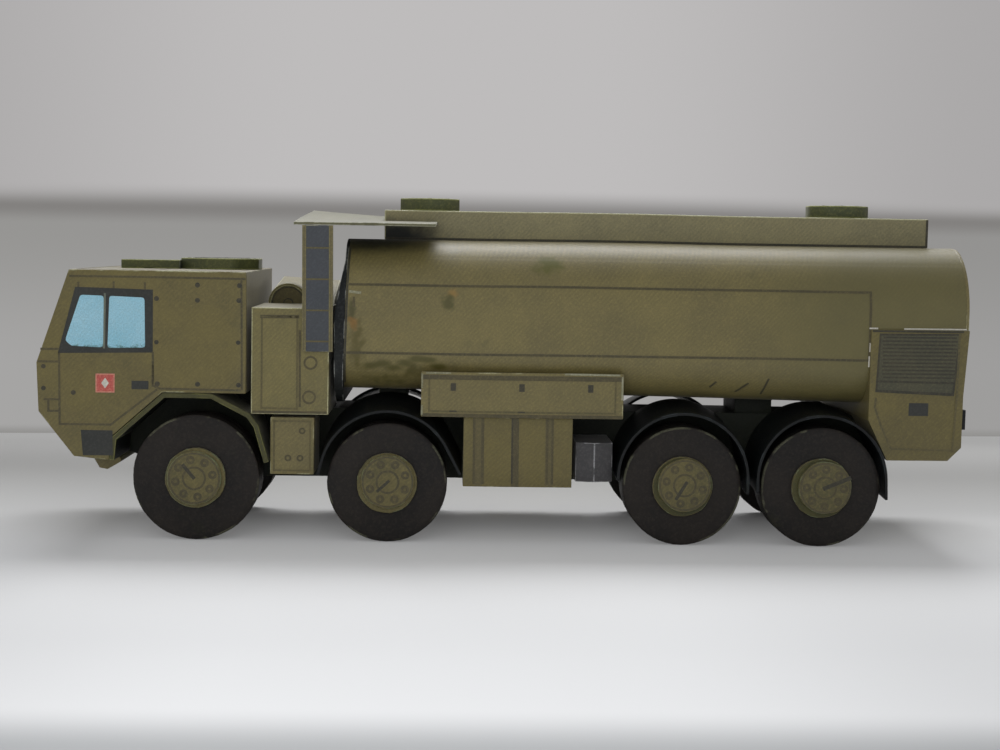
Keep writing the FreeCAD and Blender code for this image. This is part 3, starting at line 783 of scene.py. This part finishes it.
def buildRingTree():
    # small rings set round a circle, as a wheel's or a lid's nuts
    tree, ins = nodeTree("printedRings", Count=8, Circle=2.0, Ring=0.34, Line=0.12, Thickness=0.06)
    places = addNode(tree, "GeometryNodeMeshCircle", {"Vertices": ins["Count"],
                                                      "Radius": ins["Circle"]})
    curve = addNode(tree, "GeometryNodeCurvePrimitiveCircle", {"Resolution": 16,
                                                               "Radius": ins["Ring"]})
    section = addNode(tree, "GeometryNodeCurvePrimitiveQuadrilateral",
                      {"Width": ins["Line"], "Height": ins["Thickness"]})
    nut = addNode(tree, "GeometryNodeCurveToMesh", {"Curve": curve.outputs[0],
                                                    "Profile Curve": section.outputs[0]})
    return closeTree(tree, ins, Points=places.outputs[0], Instance=nut.outputs[0])


def buildSlatTree():
    # printed lines stacked downwards: shutter slats, rungs or grille bars
    tree, ins = nodeTree("printedSlats", Count=10, Pitch=0.4, Length=8.0, Width=0.12,
                         Thickness=0.06, Uneven=0.06, Seed=5)
    offset = addNode(tree, "ShaderNodeCombineXYZ", {"Z": calc(tree, "MULTIPLY", ins["Pitch"], -1.0)})
    places = addNode(tree, "GeometryNodeMeshLine", {"Count": ins["Count"],
                                                    "Offset": offset.outputs[0]})
    size = addNode(tree, "ShaderNodeCombineXYZ", {"X": ins["Length"], "Y": ins["Thickness"],
                                                  "Z": ins["Width"]})
    slat = addNode(tree, "GeometryNodeMeshCube", {"Size": size.outputs[0]})
    scale = addNode(tree, "ShaderNodeCombineXYZ", {"X": unevenShare(tree, ins), "Y": 1.0, "Z": 1.0})
    return closeTree(tree, ins, Points=places.outputs[0], Instance=slat.outputs["Mesh"],
                     Scale=scale.outputs[0])


trees = {"dots": buildDotTree(), "rings": buildRingTree(), "slats": buildSlatTree()}


def grow(bm, kind, ink, place=Matrix(), points=((0, 0, 0),), **values):
    # run a tree on some points and add the plain mesh that it gives to bm
    seedMesh = bpy.data.meshes.new("points")
    seedMesh.from_pydata([Vector(p) for p in points], [], [])
    holder = bpy.data.objects.new("points", seedMesh)
    scene.collection.objects.link(holder)
    modifier = holder.modifiers.new("layout", "NODES")
    modifier.node_group = trees[kind]
    keys = {item.name: item.identifier for item in trees[kind].interface.items_tree
            if item.in_out == "INPUT"}
    values["Ink"] = inkList[inkOrder.index(ink)]
    for label, value in values.items():
        modifier[keys[label]] = value
    graph = bpy.context.evaluated_depsgraph_get()
    mesh = bpy.data.meshes.new_from_object(holder.evaluated_get(graph))
    holder.modifiers.remove(modifier)
    mesh.transform(place)
    before = len(bm.faces)
    bm.from_mesh(mesh)
    bm.faces.ensure_lookup_table()
    for face in bm.faces[before:]:
        face.material_index = inkOrder.index(ink)
    bpy.data.objects.remove(holder)
    bpy.data.meshes.remove(mesh)
    bpy.data.meshes.remove(seedMesh)


def dots(face, points, ink, **sizes):
    bm, at, _ = face
    grow(bm, "dots", ink, points=[at(p) for p in points], **sizes)


def slats(face, first, ink, **sizes):
    bm, at, _ = face
    grow(bm, "slats", ink, Matrix.Translation(at(first)), **sizes)


def nuts(face, centre, ink, turn=0, **sizes):
    bm, at, out = face
    place = Matrix.Translation(at(centre)) @ Matrix.Rotation(math.radians(turn), 4, out) \
        @ out.to_track_quat("Z", "Y").to_matrix().to_4x4()
    grow(bm, "rings", ink, place, **sizes)


def lidMarks(bm, node, look):
    # a ring and a circle of nuts on a lid's top; its top face is given back
    top = topFace(bm, node)
    middle = (sideSize(node)[0] / 2, 0)
    ring(top, middle, look["ring"], look["line"], "dark")
    nuts(top, middle, "dark", **look["nuts"])
    return top


print("layout trees built")


# cab

cabPrint = {   # millimetres back from the nose and down from the roof
    "windowFrame": [(3.97, 1.8), (11.93, 1.99), (11.93, 8.48), (2.21, 8.62)],
    "panes": [[(4.5, 2.6), (6.88, 2.68), (6.83, 8.0), (3.6, 7.86), (2.96, 7.3)],
              [(7.46, 2.68), (11.06, 2.82), (11.14, 7.97), (7.28, 8.05)]],
    "paneCorner": 0.26,
    "pillar": [(7.0, 2.5), (6.93, 8.0)],
    "lines": [[(11.93, 8.5), (11.93, 11.9)], [(2.35, 8.62), (2.4, 15.95)],
              [(2.4, 15.95), (7.6, 16.0), (12.3, 12.35)], [(3.5, 0.7), (21.3, 0.72)],
              [(21.0, 0.9), (21.1, 12.1)], [(0.55, 8.2), (2.3, 8.2)], [(0.25, 9.5), (2.3, 9.5)],
              [(0.9, 13.4), (2.3, 13.4)], [(1.25, 13.5), (1.25, 14.6), (2.3, 14.6)],
              [(4.3, 1.4), (4.3, 1.75)], [(7.9, 1.3), (7.9, 1.8)], [(11.1, 1.35), (11.1, 1.9)],
              [(11.95, 8.9), (11.95, 11.9), (12.7, 12.2), (20.9, 12.25)]],
    "bolts": [(16.5, 1.44), (16.5, 3.0), (20.8, 1.4), (20.75, 2.95), (12.3, 2.9), (12.3, 7.4),
              (20.7, 7.3), (12.4, 11.72), (16.55, 11.68), (20.75, 11.7), (3.8, 12.68),
              (0.75, 10.0), (0.75, 12.25)],
    "boltRadius": 0.27,
    "emblem": (7.05, 11.68, 0.92),          # middle and half size
    "lozenge": (0.42, 0.6),                 # its half width and height in the emblem, as shares
    "handle": (9.76, 11.42, 11.5, 12.3),
    "bumper": [(4.55, 16.55), (7.8, 16.6), (7.82, 19.2), (4.75, 19.2)],
}
for side in sides:
    bm = bmesh.new()
    door = sideFace(bm, "cab_shell", side)
    fill(door, cabPrint["windowFrame"], "grey")
    for pane in cabPrint["panes"]:
        fill(door, rounded(pane, cabPrint["paneCorner"]), "glass", 0.045)
    line(door, cabPrint["pillar"], 0.2, "pillar", 0.05)
    for points in cabPrint["lines"]:
        line(door, points, 0.22, "faint")
    dots(door, cabPrint["bolts"], "dark", Radius=cabPrint["boltRadius"])
    back, down, half = cabPrint["emblem"]
    fill(door, boxRound(back, down, half, half), "red", 0.03)
    outline(door, boxRound(back, down, half, half), 0.12, "cream", 0.034)
    wide, tall = (half * share for share in cabPrint["lozenge"])
    fill(door, [(back, down - tall), (back + wide, down), (back, down + tall), (back - wide, down)],
         "white", 0.04)
    fill(door, box(*cabPrint["handle"]), "grey")
    fill(door, cabPrint["bumper"], "grey")
    printPiece("cab_side_print_" + side, bm)

# nose: windscreen in two panes, a slatted grille, lamps and a blank plate
nosePrint = {
    "screenFold": (3.3, 9.6),            # the windscreen runs forwards and down by this
    "screen": (-10.9, 1.4, 10.9, 8.5),   # left from the middle and down the screen
    "pane": (0.35, 1.9, 10.4, 8.0),
    "wiper": [(1.35, 8.2), (5.85, 5.6)],
    "screenSeam": [(-11.6, 9.1), (11.6, 9.1)],
    "grilleTop": (0.02, 10.5),           # back from the nose and down from the roof
    "grille": {"Count": 7, "Pitch": 0.55, "Length": 13.0, "Width": 0.2, "Thickness": 0.1},
    "chinFoot": (3.8, 0.4),              # back from the nose and up from the cab's foot
    "chinTop": (0.2, 14.65),             # back from the nose and down from the roof
    "lampMiddle": (9.0, 0.575, 0.58),    # left from the middle, and shares of the way up the chin
    "lampRim": (1.5, 0.275), "lamp": (1.05, 0.16),
    "numberPlate": (-2.6, 0.42, 2.6, 0.66),
    "chinSeams": (0.12, 0.95), "chinHalf": 11.7,
}
cabLow, cabHigh = span("cab_shell")
bm = bmesh.new()
forwards, fall = nosePrint["screenFold"]
screen = flatFace(bm, (cabHigh.x - forwards, 0, cabHigh.z), (0, 1, 0), (forwards / fall, 0, -1),
                  (fall, 0, forwards))
fill(screen, box(*nosePrint["screen"]), "grey")
for sign in (1, -1):
    fill(screen, [(sign * y, down) for y, down in box(*nosePrint["pane"])], "glass", 0.045)
    line(screen, [(sign * y, down) for y, down in nosePrint["wiper"]], 0.16, "dark", 0.06)
line(screen, nosePrint["screenSeam"], 0.13, "faint")
back, down = nosePrint["grilleTop"]
grow(bm, "slats", "dark", Matrix.Translation((cabHigh.x - back, 0, cabHigh.z - down))
     @ Matrix.Rotation(math.radians(90), 4, "Z"), **nosePrint["grille"])
(backFoot, up), (backTop, down) = nosePrint["chinFoot"], nosePrint["chinTop"]
chinFoot = Vector((cabHigh.x - backFoot, 0, cabLow.z + up))
slope = Vector((cabHigh.x - backTop, 0, cabHigh.z - down)) - chinFoot
chin = flatFace(bm, chinFoot, (0, 1, 0), slope, (slope.z, 0, -slope.x))
y, rimShare, lampShare = nosePrint["lampMiddle"]
for sign in (1, -1):
    fill(chin, boxRound(sign * y, rimShare, *nosePrint["lampRim"]), "grey")
    fill(chin, boxRound(sign * y, lampShare, *nosePrint["lamp"]), "white", 0.04)
fill(chin, box(*nosePrint["numberPlate"]), "white", 0.03)
for share in nosePrint["chinSeams"]:
    line(chin, [(-nosePrint["chinHalf"], share), (nosePrint["chinHalf"], share)], 0.13, "faint")
printPiece("cab_nose_print", bm)

# roof: a border, a short seam before the lid, and the lid's ring and nuts
roofPrint = {
    "border": (4.0, -11.5, 20.6, 11.5),   # back from the nose and left from the middle
    "seam": (0.6, 3.6, 11.5),             # before the lid, and from here to there on the left
    "width": 0.13,
    "lid": {"ring": 3.1, "line": 0.13, "nuts": {"Count": 8, "Circle": 3.6, "Ring": 0.16, "Line": 0.1}},
}
bm = bmesh.new()
roof = topFace(bm, "cab_shell")
outline(roof, box(*roofPrint["border"]), roofPrint["width"], "faint")
ahead, y0, y1 = roofPrint["seam"]
back = cabHigh.x - span("cab_roof_hatch")[1].x - ahead
line(roof, [(back, y0), (back, y1)], roofPrint["width"], "faint")
lidMarks(bm, "cab_roof_hatch", roofPrint["lid"])
printPiece("cab_roof_print", bm)
print("cab printed")


# boxes behind the cab and the ladder

boxPrint = {
    "height": 11.1,     # of the left box; the right one is taller, and its print starts lower
    "inner": [(1.08, 0.95), (4.72, 0.92), (4.75, 10.5), (1.1, 10.45)],
    "band": [(1.1, 0.95), (4.75, 0.92)], "seam": [(4.98, 2.4), (5.05, 10.2)],
    "foot": (0.3, 10.88), "rings": [(6.12, 5.7), (6.0, 9.3)], "ring": 0.62,
    "lowerInset": 0.4, "lowerBolts": [(3.3, 1.4), (1.85, 4.25), (3.1, 4.25)], "lowerBolt": 0.26,
}
for side in sides:
    bm = bmesh.new()
    length, height = sideSize("tall_box_" + side)
    tallBox = sideFace(bm, "tall_box_" + side, side, height - boxPrint["height"])
    outline(tallBox, boxPrint["inner"], 0.2, "soft")
    line(tallBox, boxPrint["band"], 0.36, "faint")
    line(tallBox, boxPrint["seam"], 0.24, "faint")
    start, down = boxPrint["foot"]
    line(tallBox, [(start, down), (length - start, down)], 0.26, "faint")
    for place in boxPrint["rings"]:
        ring(tallBox, place, boxPrint["ring"], 0.22, "faint")
    length, height = sideSize("lower_box_" + side)
    lowerBox = sideFace(bm, "lower_box_" + side, side)
    inset = boxPrint["lowerInset"]
    outline(lowerBox, box(inset, inset, length - inset, height - inset), 0.2, "soft")
    for place in boxPrint["lowerBolts"]:
        ring(lowerBox, place, boxPrint["lowerBolt"], 0.2, "faint")
    printPiece("side_boxes_print_" + side, bm)

ladderPrint = {"rail": 0.4, "end": 0.2, "firstRung": 2.32, "rungShort": 0.7,
               "rungs": {"Count": 4, "Pitch": 3.21, "Width": 0.17, "Uneven": 0.02}}
bm = bmesh.new()
length, height = sideSize("ladder")
for side in sides:
    ladder = sideFace(bm, "ladder", side)
    for back in (ladderPrint["rail"] / 2, length - ladderPrint["rail"] / 2):
        rail = [(back, height - ladderPrint["end"]), (back, ladderPrint["end"])]
        line(ladder, rail, ladderPrint["rail"], "olive")
        line(ladder, rail, 0.06, "faint", 0.03)
    slats(ladder, (length / 2, ladderPrint["firstRung"]), "soft",
          Length=length - ladderPrint["rungShort"], **ladderPrint["rungs"])
printPiece("ladder_print", bm)

# the drum's end has a darker disc, painted shade in its recess under the platform, with two dark rings,
# inside its rim
drumPrint = {"deep": 0.15, "radius": 1.95, "rings": (1.75, 0.5)}
low, high = span("filter_drum")
centre = (low + high) / 2
bm = bmesh.new()
drumEnd = flatFace(bm, (centre.x, high.y - drumPrint["deep"], centre.z), (1, 0, 0), (0, 0, 1),
                   (0, 1, 0))
dots(drumEnd, [(0, 0)], "soft", Radius=drumPrint["radius"], Uneven=0.0)
for radius in drumPrint["rings"]:
    ring(drumEnd, (0, 0), radius, 0.14, "dark", 0.04)
printPiece("drum_print", bm)
print("boxes and ladder printed")


# tank

tankPrint = {   # places along the tube are back from its front, heights are down from its top
    "lines": [((0.5, 4.7), (55.0, 4.7)), ((0.5, 11.78), (55.0, 11.78)), ((55.0, 4.7), (55.0, 11.78))],
    "tick": ((1.15, 6.1), (1.15, 6.9)),
    "frontEdge": ((0.6, 0.9), (0.14, 15.0)),
    "streak": ((0.75, 5.45), (1.75, 5.55)),
    # creases: dark lines as painted shade in the card's creases
    "creases": [((38.6, 14.9), (39.1, 14.4)), ((41.4, 15.4), (42.5, 14.5)),
                ((44.1, 15.6), (44.6, 14.0))],
    # the cut edge over the cabinet shows raw paper
    "rawEdges": [((55.0, 8.4), (55.75, 8.4)), ((58.65, 8.42), (65.05, 8.42))],
    "rawEnds": [((55.05, 10.0), (55.05, 10.8)), ((55.0, 11.4), (55.0, 12.4))],
}
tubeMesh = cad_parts["tank_body"].data
tubeTree = BVHTree.FromPolygons([v.co / mm for v in tubeMesh.vertices],
                                [face.vertices for face in tubeMesh.polygons])


def tubeSkin(back, down, sign):
    # where a straight look from the side meets the tube, and the way that it faces there
    start = Vector((tubeHigh.x - back, sign * 2 * tubeHigh.y, tubeHigh.z - down))
    return tubeTree.ray_cast(start, Vector((0, -sign, 0)))[:2]


def tubeLine(bm, ends, sign, width, ink, lift=0.03):
    (x0, y0), (x1, y1) = ends
    steps = max(2, int(math.hypot(x1 - x0, y1 - y0) / 0.35))
    skin = [tubeSkin(x0 + (x1 - x0) * i / steps, y0 + (y1 - y0) * i / steps, sign)
            for i in range(steps + 1)]
    skin = [found for found in skin if found[0] is not None]
    tape(bm, [p for p, _ in skin], [o for _, o in skin], width, ink, lift)


for side, sign in sides.items():
    bm = bmesh.new()
    for ends in tankPrint["lines"]:
        tubeLine(bm, ends, sign, 0.26, "faint")
    tubeLine(bm, tankPrint["frontEdge"], sign, 0.2, "dark")
    tubeLine(bm, tankPrint["tick"], sign, 0.26, "faint", 0.04)
    tubeLine(bm, tankPrint["streak"], sign, 0.26, "scuff", 0.04)
    for key, width, ink in (("creases", 0.2, "dark"), ("rawEdges", 0.16, "white"),
                            ("rawEnds", 0.14, "white")):
        for ends in tankPrint[key]:
            tubeLine(bm, ends, sign, width, ink, 0.04)
    printPiece("tank_side_print_" + side, bm)

# walkway lines on the top box, a dark line along each side's foot as painted contact shadow and one down
# its rear end, rings and hinges on the lids
topBoxPrint = {
    "edge": 0.6, "half": 3.6, "width": 0.12,
    "seams": (0.24, 0.4, 0.56, 0.72),     # shares of the box's length
    # fold: how far in the dark lines lie from the foot and the rear end
    "fold": 0.14, "darkLineEnd": 0.2, "darkLineWidth": 0.24,
    "lid": {"ring": 2.2, "line": 0.12, "nuts": {"Count": 8, "Circle": 2.65, "Ring": 0.14, "Line": 0.09}},
    "hinge": (0.5, 1.5, 0.7),             # from here to there before the lid's rear, half width
}
bm = bmesh.new()
walkway = topFace(bm, "tank_top_box")
length, height = sideSize("tank_top_box")
edge, half = topBoxPrint["edge"], topBoxPrint["half"]
outline(walkway, box(edge, -half, length - edge, half), topBoxPrint["width"], "faint")
for share in topBoxPrint["seams"]:
    line(walkway, [(share * length, -half), (share * length, half)], topBoxPrint["width"], "faint")
fold, end = topBoxPrint["fold"], topBoxPrint["darkLineEnd"]
for side in sides:
    boxSide = sideFace(bm, "tank_top_box", side)
    # the line along the foot is painted contact shadow
    for ends in ([(end, height - fold), (length - end, height - fold)],
                 [(length - fold, height - end), (length - fold, end)]):
        line(boxSide, ends, topBoxPrint["darkLineWidth"], "dark")
for node in ("hatch_front", "hatch_rear"):
    top = lidMarks(bm, node, topBoxPrint["lid"])
    rear = sideSize(node)[0]
    start, end, half = topBoxPrint["hinge"]
    fill(top, box(rear - end, -half, rear - start, half), "dark")
printPiece("top_box_print", bm)

# the plate at the tube's rear: a border, two straps, a ring and its nuts
tankRearPrint = {   # left from the middle and up from the plate's foot
    "border": [(-11, 0.75), (11, 0.75), (11, 3.35), (7.5, 7.15), (-7.5, 7.15), (-11, 3.35)],
    "strap": (5.0, 0.85, 7.05), "width": 0.13,
    "manhole": (0, 4.15), "ring": 2.3, "nuts": {"Count": 8, "Circle": 1.9, "Ring": 0.16, "Line": 0.1},
}
bm = bmesh.new()
tankRear = rearFace(bm, "tank_end_rear")
outline(tankRear, tankRearPrint["border"], tankRearPrint["width"], "faint")
y, foot, top = tankRearPrint["strap"]
for sign in (1, -1):
    line(tankRear, [(sign * y, foot), (sign * y, top)], tankRearPrint["width"], "faint")
ring(tankRear, tankRearPrint["manhole"], tankRearPrint["ring"], 0.14, "dark")
nuts(tankRear, tankRearPrint["manhole"], "dark", **tankRearPrint["nuts"])
printPiece("tank_rear_print", bm)
print("tank printed")


# lockers between the axles

lockerPrint = {   # back from a box's front and down from its top
    "inset": 0.85, "top": 0.6,
    "bands": [(0, 0.55, 0.5), (1, -0.2, 0.34)],   # share of the height, down from there, width
    "latches": (3.35, 10.5, 17.65), "latch": (0.28, 0.4), "latchDown": 1.55,
    "marks": (3.35, 10.5), "mark": (0.3, 0.62),
    "scuffs": [[(0.1, 0.3), (0.1, 1.6)], [(0.1, 3.6), (0.1, 4.4)], [(20.95, 0.4), (20.95, 2.6)],
               [(15.0, 0.08), (20.6, 0.12)], [(0.6, 0.12), (3.0, 0.1)]],
    # on the storage box: place, width, ink and lift
    "seams": [(1.1, 0.26, "faint", 0.034), (1.55, 0.8, "soft", hair), (2.0, 0.3, "faint", 0.034),
              (5.4, 0.8, "faint", hair), (5.1, 0.16, "dark", 0.034), (8.95, 0.8, "soft", hair),
              (8.75, 0.24, "faint", 0.034), (9.3, 0.24, "faint", 0.034)],
    "seamEnds": (0.2, 0.45), "seamLean": 0.05,
}
for side in sides:
    bm = bmesh.new()
    locker = sideFace(bm, "side_locker_" + side, side)
    length, height = sideSize("side_locker_" + side)
    inset, top = lockerPrint["inset"], lockerPrint["top"]
    outline(locker, box(inset, top, length - inset, height - top), 0.2, "soft")
    for share, step, width in lockerPrint["bands"]:
        down = share * height + step
        line(locker, [(0.3, down), (length - 0.3, down)], width, "faint", 0.03)
    for back in lockerPrint["latches"]:
        fill(locker, boxRound(back, lockerPrint["latchDown"], *lockerPrint["latch"]), "dark")
    half, up = lockerPrint["mark"]
    for back in lockerPrint["marks"]:
        line(locker, [(back - half, height - up), (back + half, height - up)], 0.16, "dark", 0.03)
    for ends in lockerPrint["scuffs"]:
        line(locker, ends, 0.18, "scuff", 0.035)
    storage = sideFace(bm, "storage_box_" + side, side)
    length, height = sideSize("storage_box_" + side)
    top, foot = lockerPrint["seamEnds"]
    for back, width, ink, lift in lockerPrint["seams"]:
        ends = [(back, top), (back + lockerPrint["seamLean"], height - foot)]
        line(storage, ends, width, ink, lift)
    printPiece("locker_print_" + side, bm)
print("lockers printed")


# rear cabinet

cabinetPrint = {   # back from the cabinet's front and down from its top
    "shutter": [(0.96, 0.45), (9.3, 0.4), (8.8, 6.72), (0.72, 6.4)],
    "slats": {"Count": 12, "Pitch": 0.38, "Length": 7.9, "Width": 0.17, "Thickness": 0.07},
    "slatTop": (5.1, 0.75),
    "topGapShadow": [(0.2, 0.12), (9.6, 0.12)],
    "lips": [[(0.8, 5.35), (8.75, 5.45)], [(0.75, 6.35), (8.6, 6.6)]],
    "border": [(0.7, 7.2), (0.62, 8.1), (1.25, 9.8), (2.45, 12.45), (8.95, 12.6), (9.2, 6.8),
               (9.25, 0.3)],
    "catch": (4.2, 7.6, 6.25, 8.95),
}
for side in sides:
    bm = bmesh.new()
    cabinet = sideFace(bm, "rear_cabinet", side)
    fill(cabinet, cabinetPrint["shutter"], "shutter", 0.015)
    outline(cabinet, cabinetPrint["shutter"], 0.2, "dark", 0.03)
    # painted shadow in the gap under the tube, along the cabinet's top
    line(cabinet, cabinetPrint["topGapShadow"], 0.2, "dark", 0.02)
    slats(cabinet, cabinetPrint["slatTop"], "dark", **cabinetPrint["slats"])
    for lip in cabinetPrint["lips"]:
        line(cabinet, lip, 0.22, "dark", 0.034)
    line(cabinet, cabinetPrint["border"], 0.22, "soft", 0.034)
    fill(cabinet, box(*cabinetPrint["catch"]), "grey")
    printPiece("cabinet_print_" + side, bm)

# rear wall: two doors, catches, a blank plate; the lamps get printed lenses
rearPrint = {   # left from the middle and up from the fold, above which the wall leans back
    "fold": 16.3, "lean": 0.42,
    "door": (0.3, 0.5, 11.2, 6.3), "catch": (1.6, 3.4, 0.5, 0.5),
    "panel": (-11.2, -5.0, 11.2, -0.4), "numberPlate": (-2.6, -3.4, 2.6, -2.1),
    "lenses": [(0.75, "lamp"), (1.85, "red")],     # in from the lamps' outer end
    "lens": (0.42, 0.6),
}
low, high = span("rear_cabinet")
bm = bmesh.new()
fold, lean = rearPrint["fold"], rearPrint["lean"]
upperWall, lowerWall = (flatFace(bm, (low.x + lean, 0, fold), (0, 1, 0), up, (-1, 0, 0))
                        for up in ((-lean / (high.z - fold), 0, 1), (0, 0, 1)))
for sign in (1, -1):
    outline(upperWall, [(sign * y, up) for y, up in box(*rearPrint["door"])], 0.13, "faint", 0.035)
    y, up, *half = rearPrint["catch"]
    fill(upperWall, boxRound(sign * y, up, *half), "grey", 0.035)
outline(lowerWall, box(*rearPrint["panel"]), 0.13, "faint")
fill(lowerWall, box(*rearPrint["numberPlate"]), "white")
outline(lowerWall, box(*rearPrint["numberPlate"]), 0.1, "dark", 0.03)
lamps = rearFace(bm, "rear_lamps")
height, reach = sideSize("rear_lamps")[1], span("rear_lamps")[1].y
for sign in (1, -1):
    for inwards, ink in rearPrint["lenses"]:
        fill(lamps, boxRound(sign * (reach - inwards), height / 2, *rearPrint["lens"]), ink, 0.03)
printPiece("cabinet_rear_print", bm)
print("cabinet printed")


# hubs

hubPrint = {
    "nuts": {"Count": 8, "Circle": 1.95, "Ring": 0.3, "Line": 0.3, "Thickness": 0.05},
    "nutTurn": 11,                 # degrees from one wheel to the next
    "rings": ((1.14, 0.22), (2.6, 0.2)),
    # each wheel's dark bar: angle from forwards, start, length, width
    "bars": {1: (50, 0.1, 1.6, 0.36), 2: (-43, -0.1, 1.45, 0.3), 3: (-59, -0.3, 1.9, 0.34),
             4: (157, -0.05, 2.75, 0.42)},
}
for (number, side), (middle, sign) in hubFaces.items():
    bm = bmesh.new()
    hub = flatFace(bm, middle, (1, 0, 0), (0, 0, 1), (0, sign, 0))
    nuts(hub, (0, 0), "faint", sign * hubPrint["nutTurn"] * number, **hubPrint["nuts"])
    for radius, width in hubPrint["rings"]:
        ring(hub, (0, 0), radius, width, "faint")
    turn, start, length, width = hubPrint["bars"][number]
    way = Vector((math.cos(math.radians(turn)), math.sin(math.radians(turn))))
    line(hub, [way * start, way * (start + length)], width, "dark", 0.03)
    printPiece("hub_%d_print_%s" % (number, side), bm, body="wheelset_%d" % number, warp=False)
print("hubs printed")


# floor, backdrop and light

backdrop = {
    "wall": -95.0,         # the wall's place behind the middle of the view
    "wallTurn": 0.083,     # its left end comes nearer by this much for each millimetre
    "width": 900.0, "front": 420.0, "height": 100.0,
    "ledge": 36.2,         # height of the soft line across the wall
    "fill": 0.2,           # how much painted light the floor gives off at the wall
    "shadowGlowShare": 0.7,     # the share of that painted light in the truck's shadow
}
black = (0, 0, 0, 1)


def stageMaterial(name, build):
    material = bpy.data.materials.new(name)
    material.use_nodes = True
    tree = material.node_tree
    shader = tree.nodes["Principled BSDF"]
    shader.inputs["Roughness"].default_value = 0.8
    shader.inputs["Specular IOR Level"].default_value = 0
    shader.inputs["Emission Strength"].default_value = 1
    place = addNode(tree, "ShaderNodeSeparateXYZ", {0: millimetres(tree)}).outputs
    seen = addNode(tree, "ShaderNodeLightPath").outputs["Is Camera Ray"]
    base, light = build(tree, place, seen)
    feed(tree, shader.inputs["Base Color"], base)
    feed(tree, shader.inputs["Emission Color"], light)
    # a camera behind the wall or under the floor looks through it
    behind = calc(tree, "MULTIPLY", seen,
                  addNode(tree, "ShaderNodeNewGeometry").outputs["Backfacing"])
    clear = addNode(tree, "ShaderNodeBsdfTransparent")
    oneWay = addNode(tree, "ShaderNodeMixShader", {0: behind, 1: shader.outputs[0],
                                                   2: clear.outputs[0]})
    tree.links.new(oneWay.outputs[0], tree.nodes["Material Output"].inputs["Surface"])
    return material


def fromMiddle(tree, place, middle=6.0):
    return calc(tree, "ABSOLUTE", calc(tree, "SUBTRACT", place["X"], middle))


def floorPaper(tree, place, seen):
    # pale paper with painted shade: dimmer to the back and the sides, darker at the front edge; and a
    # painted glow, seen only by the camera, that lightens the truck's shadow and the floor by the wall
    share = stretch(tree, place["Y"], -45.0, 30.0)
    colour = mixColour(tree, share, tone(200, 200, 199), tone(226, 227, 229))
    edge = stretch(tree, place["Y"], 74.0, 84.0)
    colour = mixColour(tree, edge, colour, tone(174, 176, 178))
    sideShade = calc(tree, "MULTIPLY", stretch(tree, fromMiddle(tree, place), 15.0, 42.0), 0.11)
    colour = mixColour(tree, sideShade, colour, black)
    shadow = calc(tree, "MULTIPLY", stretch(tree, place["Y"], -16.0, 10.0),
                  stretch(tree, place["Y"], 58.0, 30.0))
    along = stretch(tree, fromMiddle(tree, place, -12.0), 66.0, 50.0, 0.0, backdrop["shadowGlowShare"])
    paintedGlow = calc(tree, "ADD", calc(tree, "MULTIPLY", shadow, along),
                   stretch(tree, place["Y"], -40.0, -80.0))
    light = mixColour(tree, calc(tree, "MULTIPLY", paintedGlow, seen), black,
                      (backdrop["fill"],) * 3 + (1.0,))
    return colour, light


def wallPaper(tree, place, seen):
    # a lit screen: pale above a soft ledge line with a painted shadow band just under it, darker below
    # it and at its foot, and dimmer to both sides
    ledge = backdrop["ledge"]
    low = stretch(tree, place["Z"], ledge - 26.0, ledge - 2.0)
    colour = mixColour(tree, low, tone(165, 164, 163), tone(150, 149, 147))
    right = stretch(tree, place["X"], 0.0, -80.0, 0.0, 0.35)
    colour = mixColour(tree, right, colour, tone(142, 141, 140))
    for near, far, dark in ((ledge, ledge - 2.8, tone(131, 129, 127)),
                            (0.0, 1.6, tone(146, 145, 143))):
        colour = mixColour(tree, stretch(tree, place["Z"], far, near), colour, dark)
    above = stretch(tree, place["Z"], ledge, ledge + 4.2)
    colour = mixColour(tree, above, colour, tone(190, 188, 188))
    dim = stretch(tree, fromMiddle(tree, place), 20.0, 95.0, 0.0, 0.8)
    return black, mixColour(tree, calc(tree, "MULTIPLY", dim, above), colour, tone(165, 163, 163))


def stagePlane(name, corners, build):
    mesh = bpy.data.meshes.new(name)
    mesh.from_pydata([Vector(c) * mm for c in corners], [], [(0, 1, 2, 3)])
    mesh.materials.append(stageMaterial(name, build))
    piece = bpy.data.objects.new(name, mesh)
    scene.collection.objects.link(piece)


wide, front, tall = (backdrop[k] for k in ("width", "front", "height"))
left, right = (backdrop["wall"] + backdrop["wallTurn"] * (x + 80.0) for x in (wide, -wide))
stagePlane("floor", [(-wide, right, 0), (wide, left, 0), (wide, front, 0), (-wide, front, 0)],
           floorPaper)
stagePlane("backWall", [(-wide, right, tall), (wide, left, tall), (wide, left, 0),
                        (-wide, right, 0)], wallPaper)

studioLamps = [   # name, place, aim, size, watts
    ("windowLight", (16.0, -230.0, 290.0), (6, 0, 10), 300.0, 1.72),
    ("roomLight", (25.0, 130.0, 45.0), (22, 0, 14), 90.0, 0.035),
]
for name, place, aim, size, watts in studioLamps:
    data = bpy.data.lights.new(name, "AREA")
    data.shape = "SQUARE"
    data.size = size * mm
    data.energy = watts
    lamp = bpy.data.objects.new(name, data)
    lamp.location = Vector(place) * mm
    lamp.rotation_euler = (Vector(aim) - Vector(place)).to_track_quat("-Z", "Y").to_euler()
    scene.collection.objects.link(lamp)
lamp.visible_glossy = False      # the room's own light leaves no shine on the card
world = bpy.data.worlds.new("room")
world.use_nodes = True
sky = world.node_tree
direction = addNode(sky, "ShaderNodeTexCoord").outputs["Generated"]
height = addNode(sky, "ShaderNodeSeparateXYZ", {0: direction}).outputs["Z"]
strength = stretch(sky, calc(sky, "ABSOLUTE", height), 0.0, 0.7, 0.8, 0.55)
sky.nodes["Background"].inputs["Color"].default_value = tone(208, 208, 208)
sky.links.new(strength, sky.nodes["Background"].inputs["Strength"])
scene.world = world
scene.view_settings.view_transform = "Standard"
print("stage set")

bpy.context.view_layer.update()
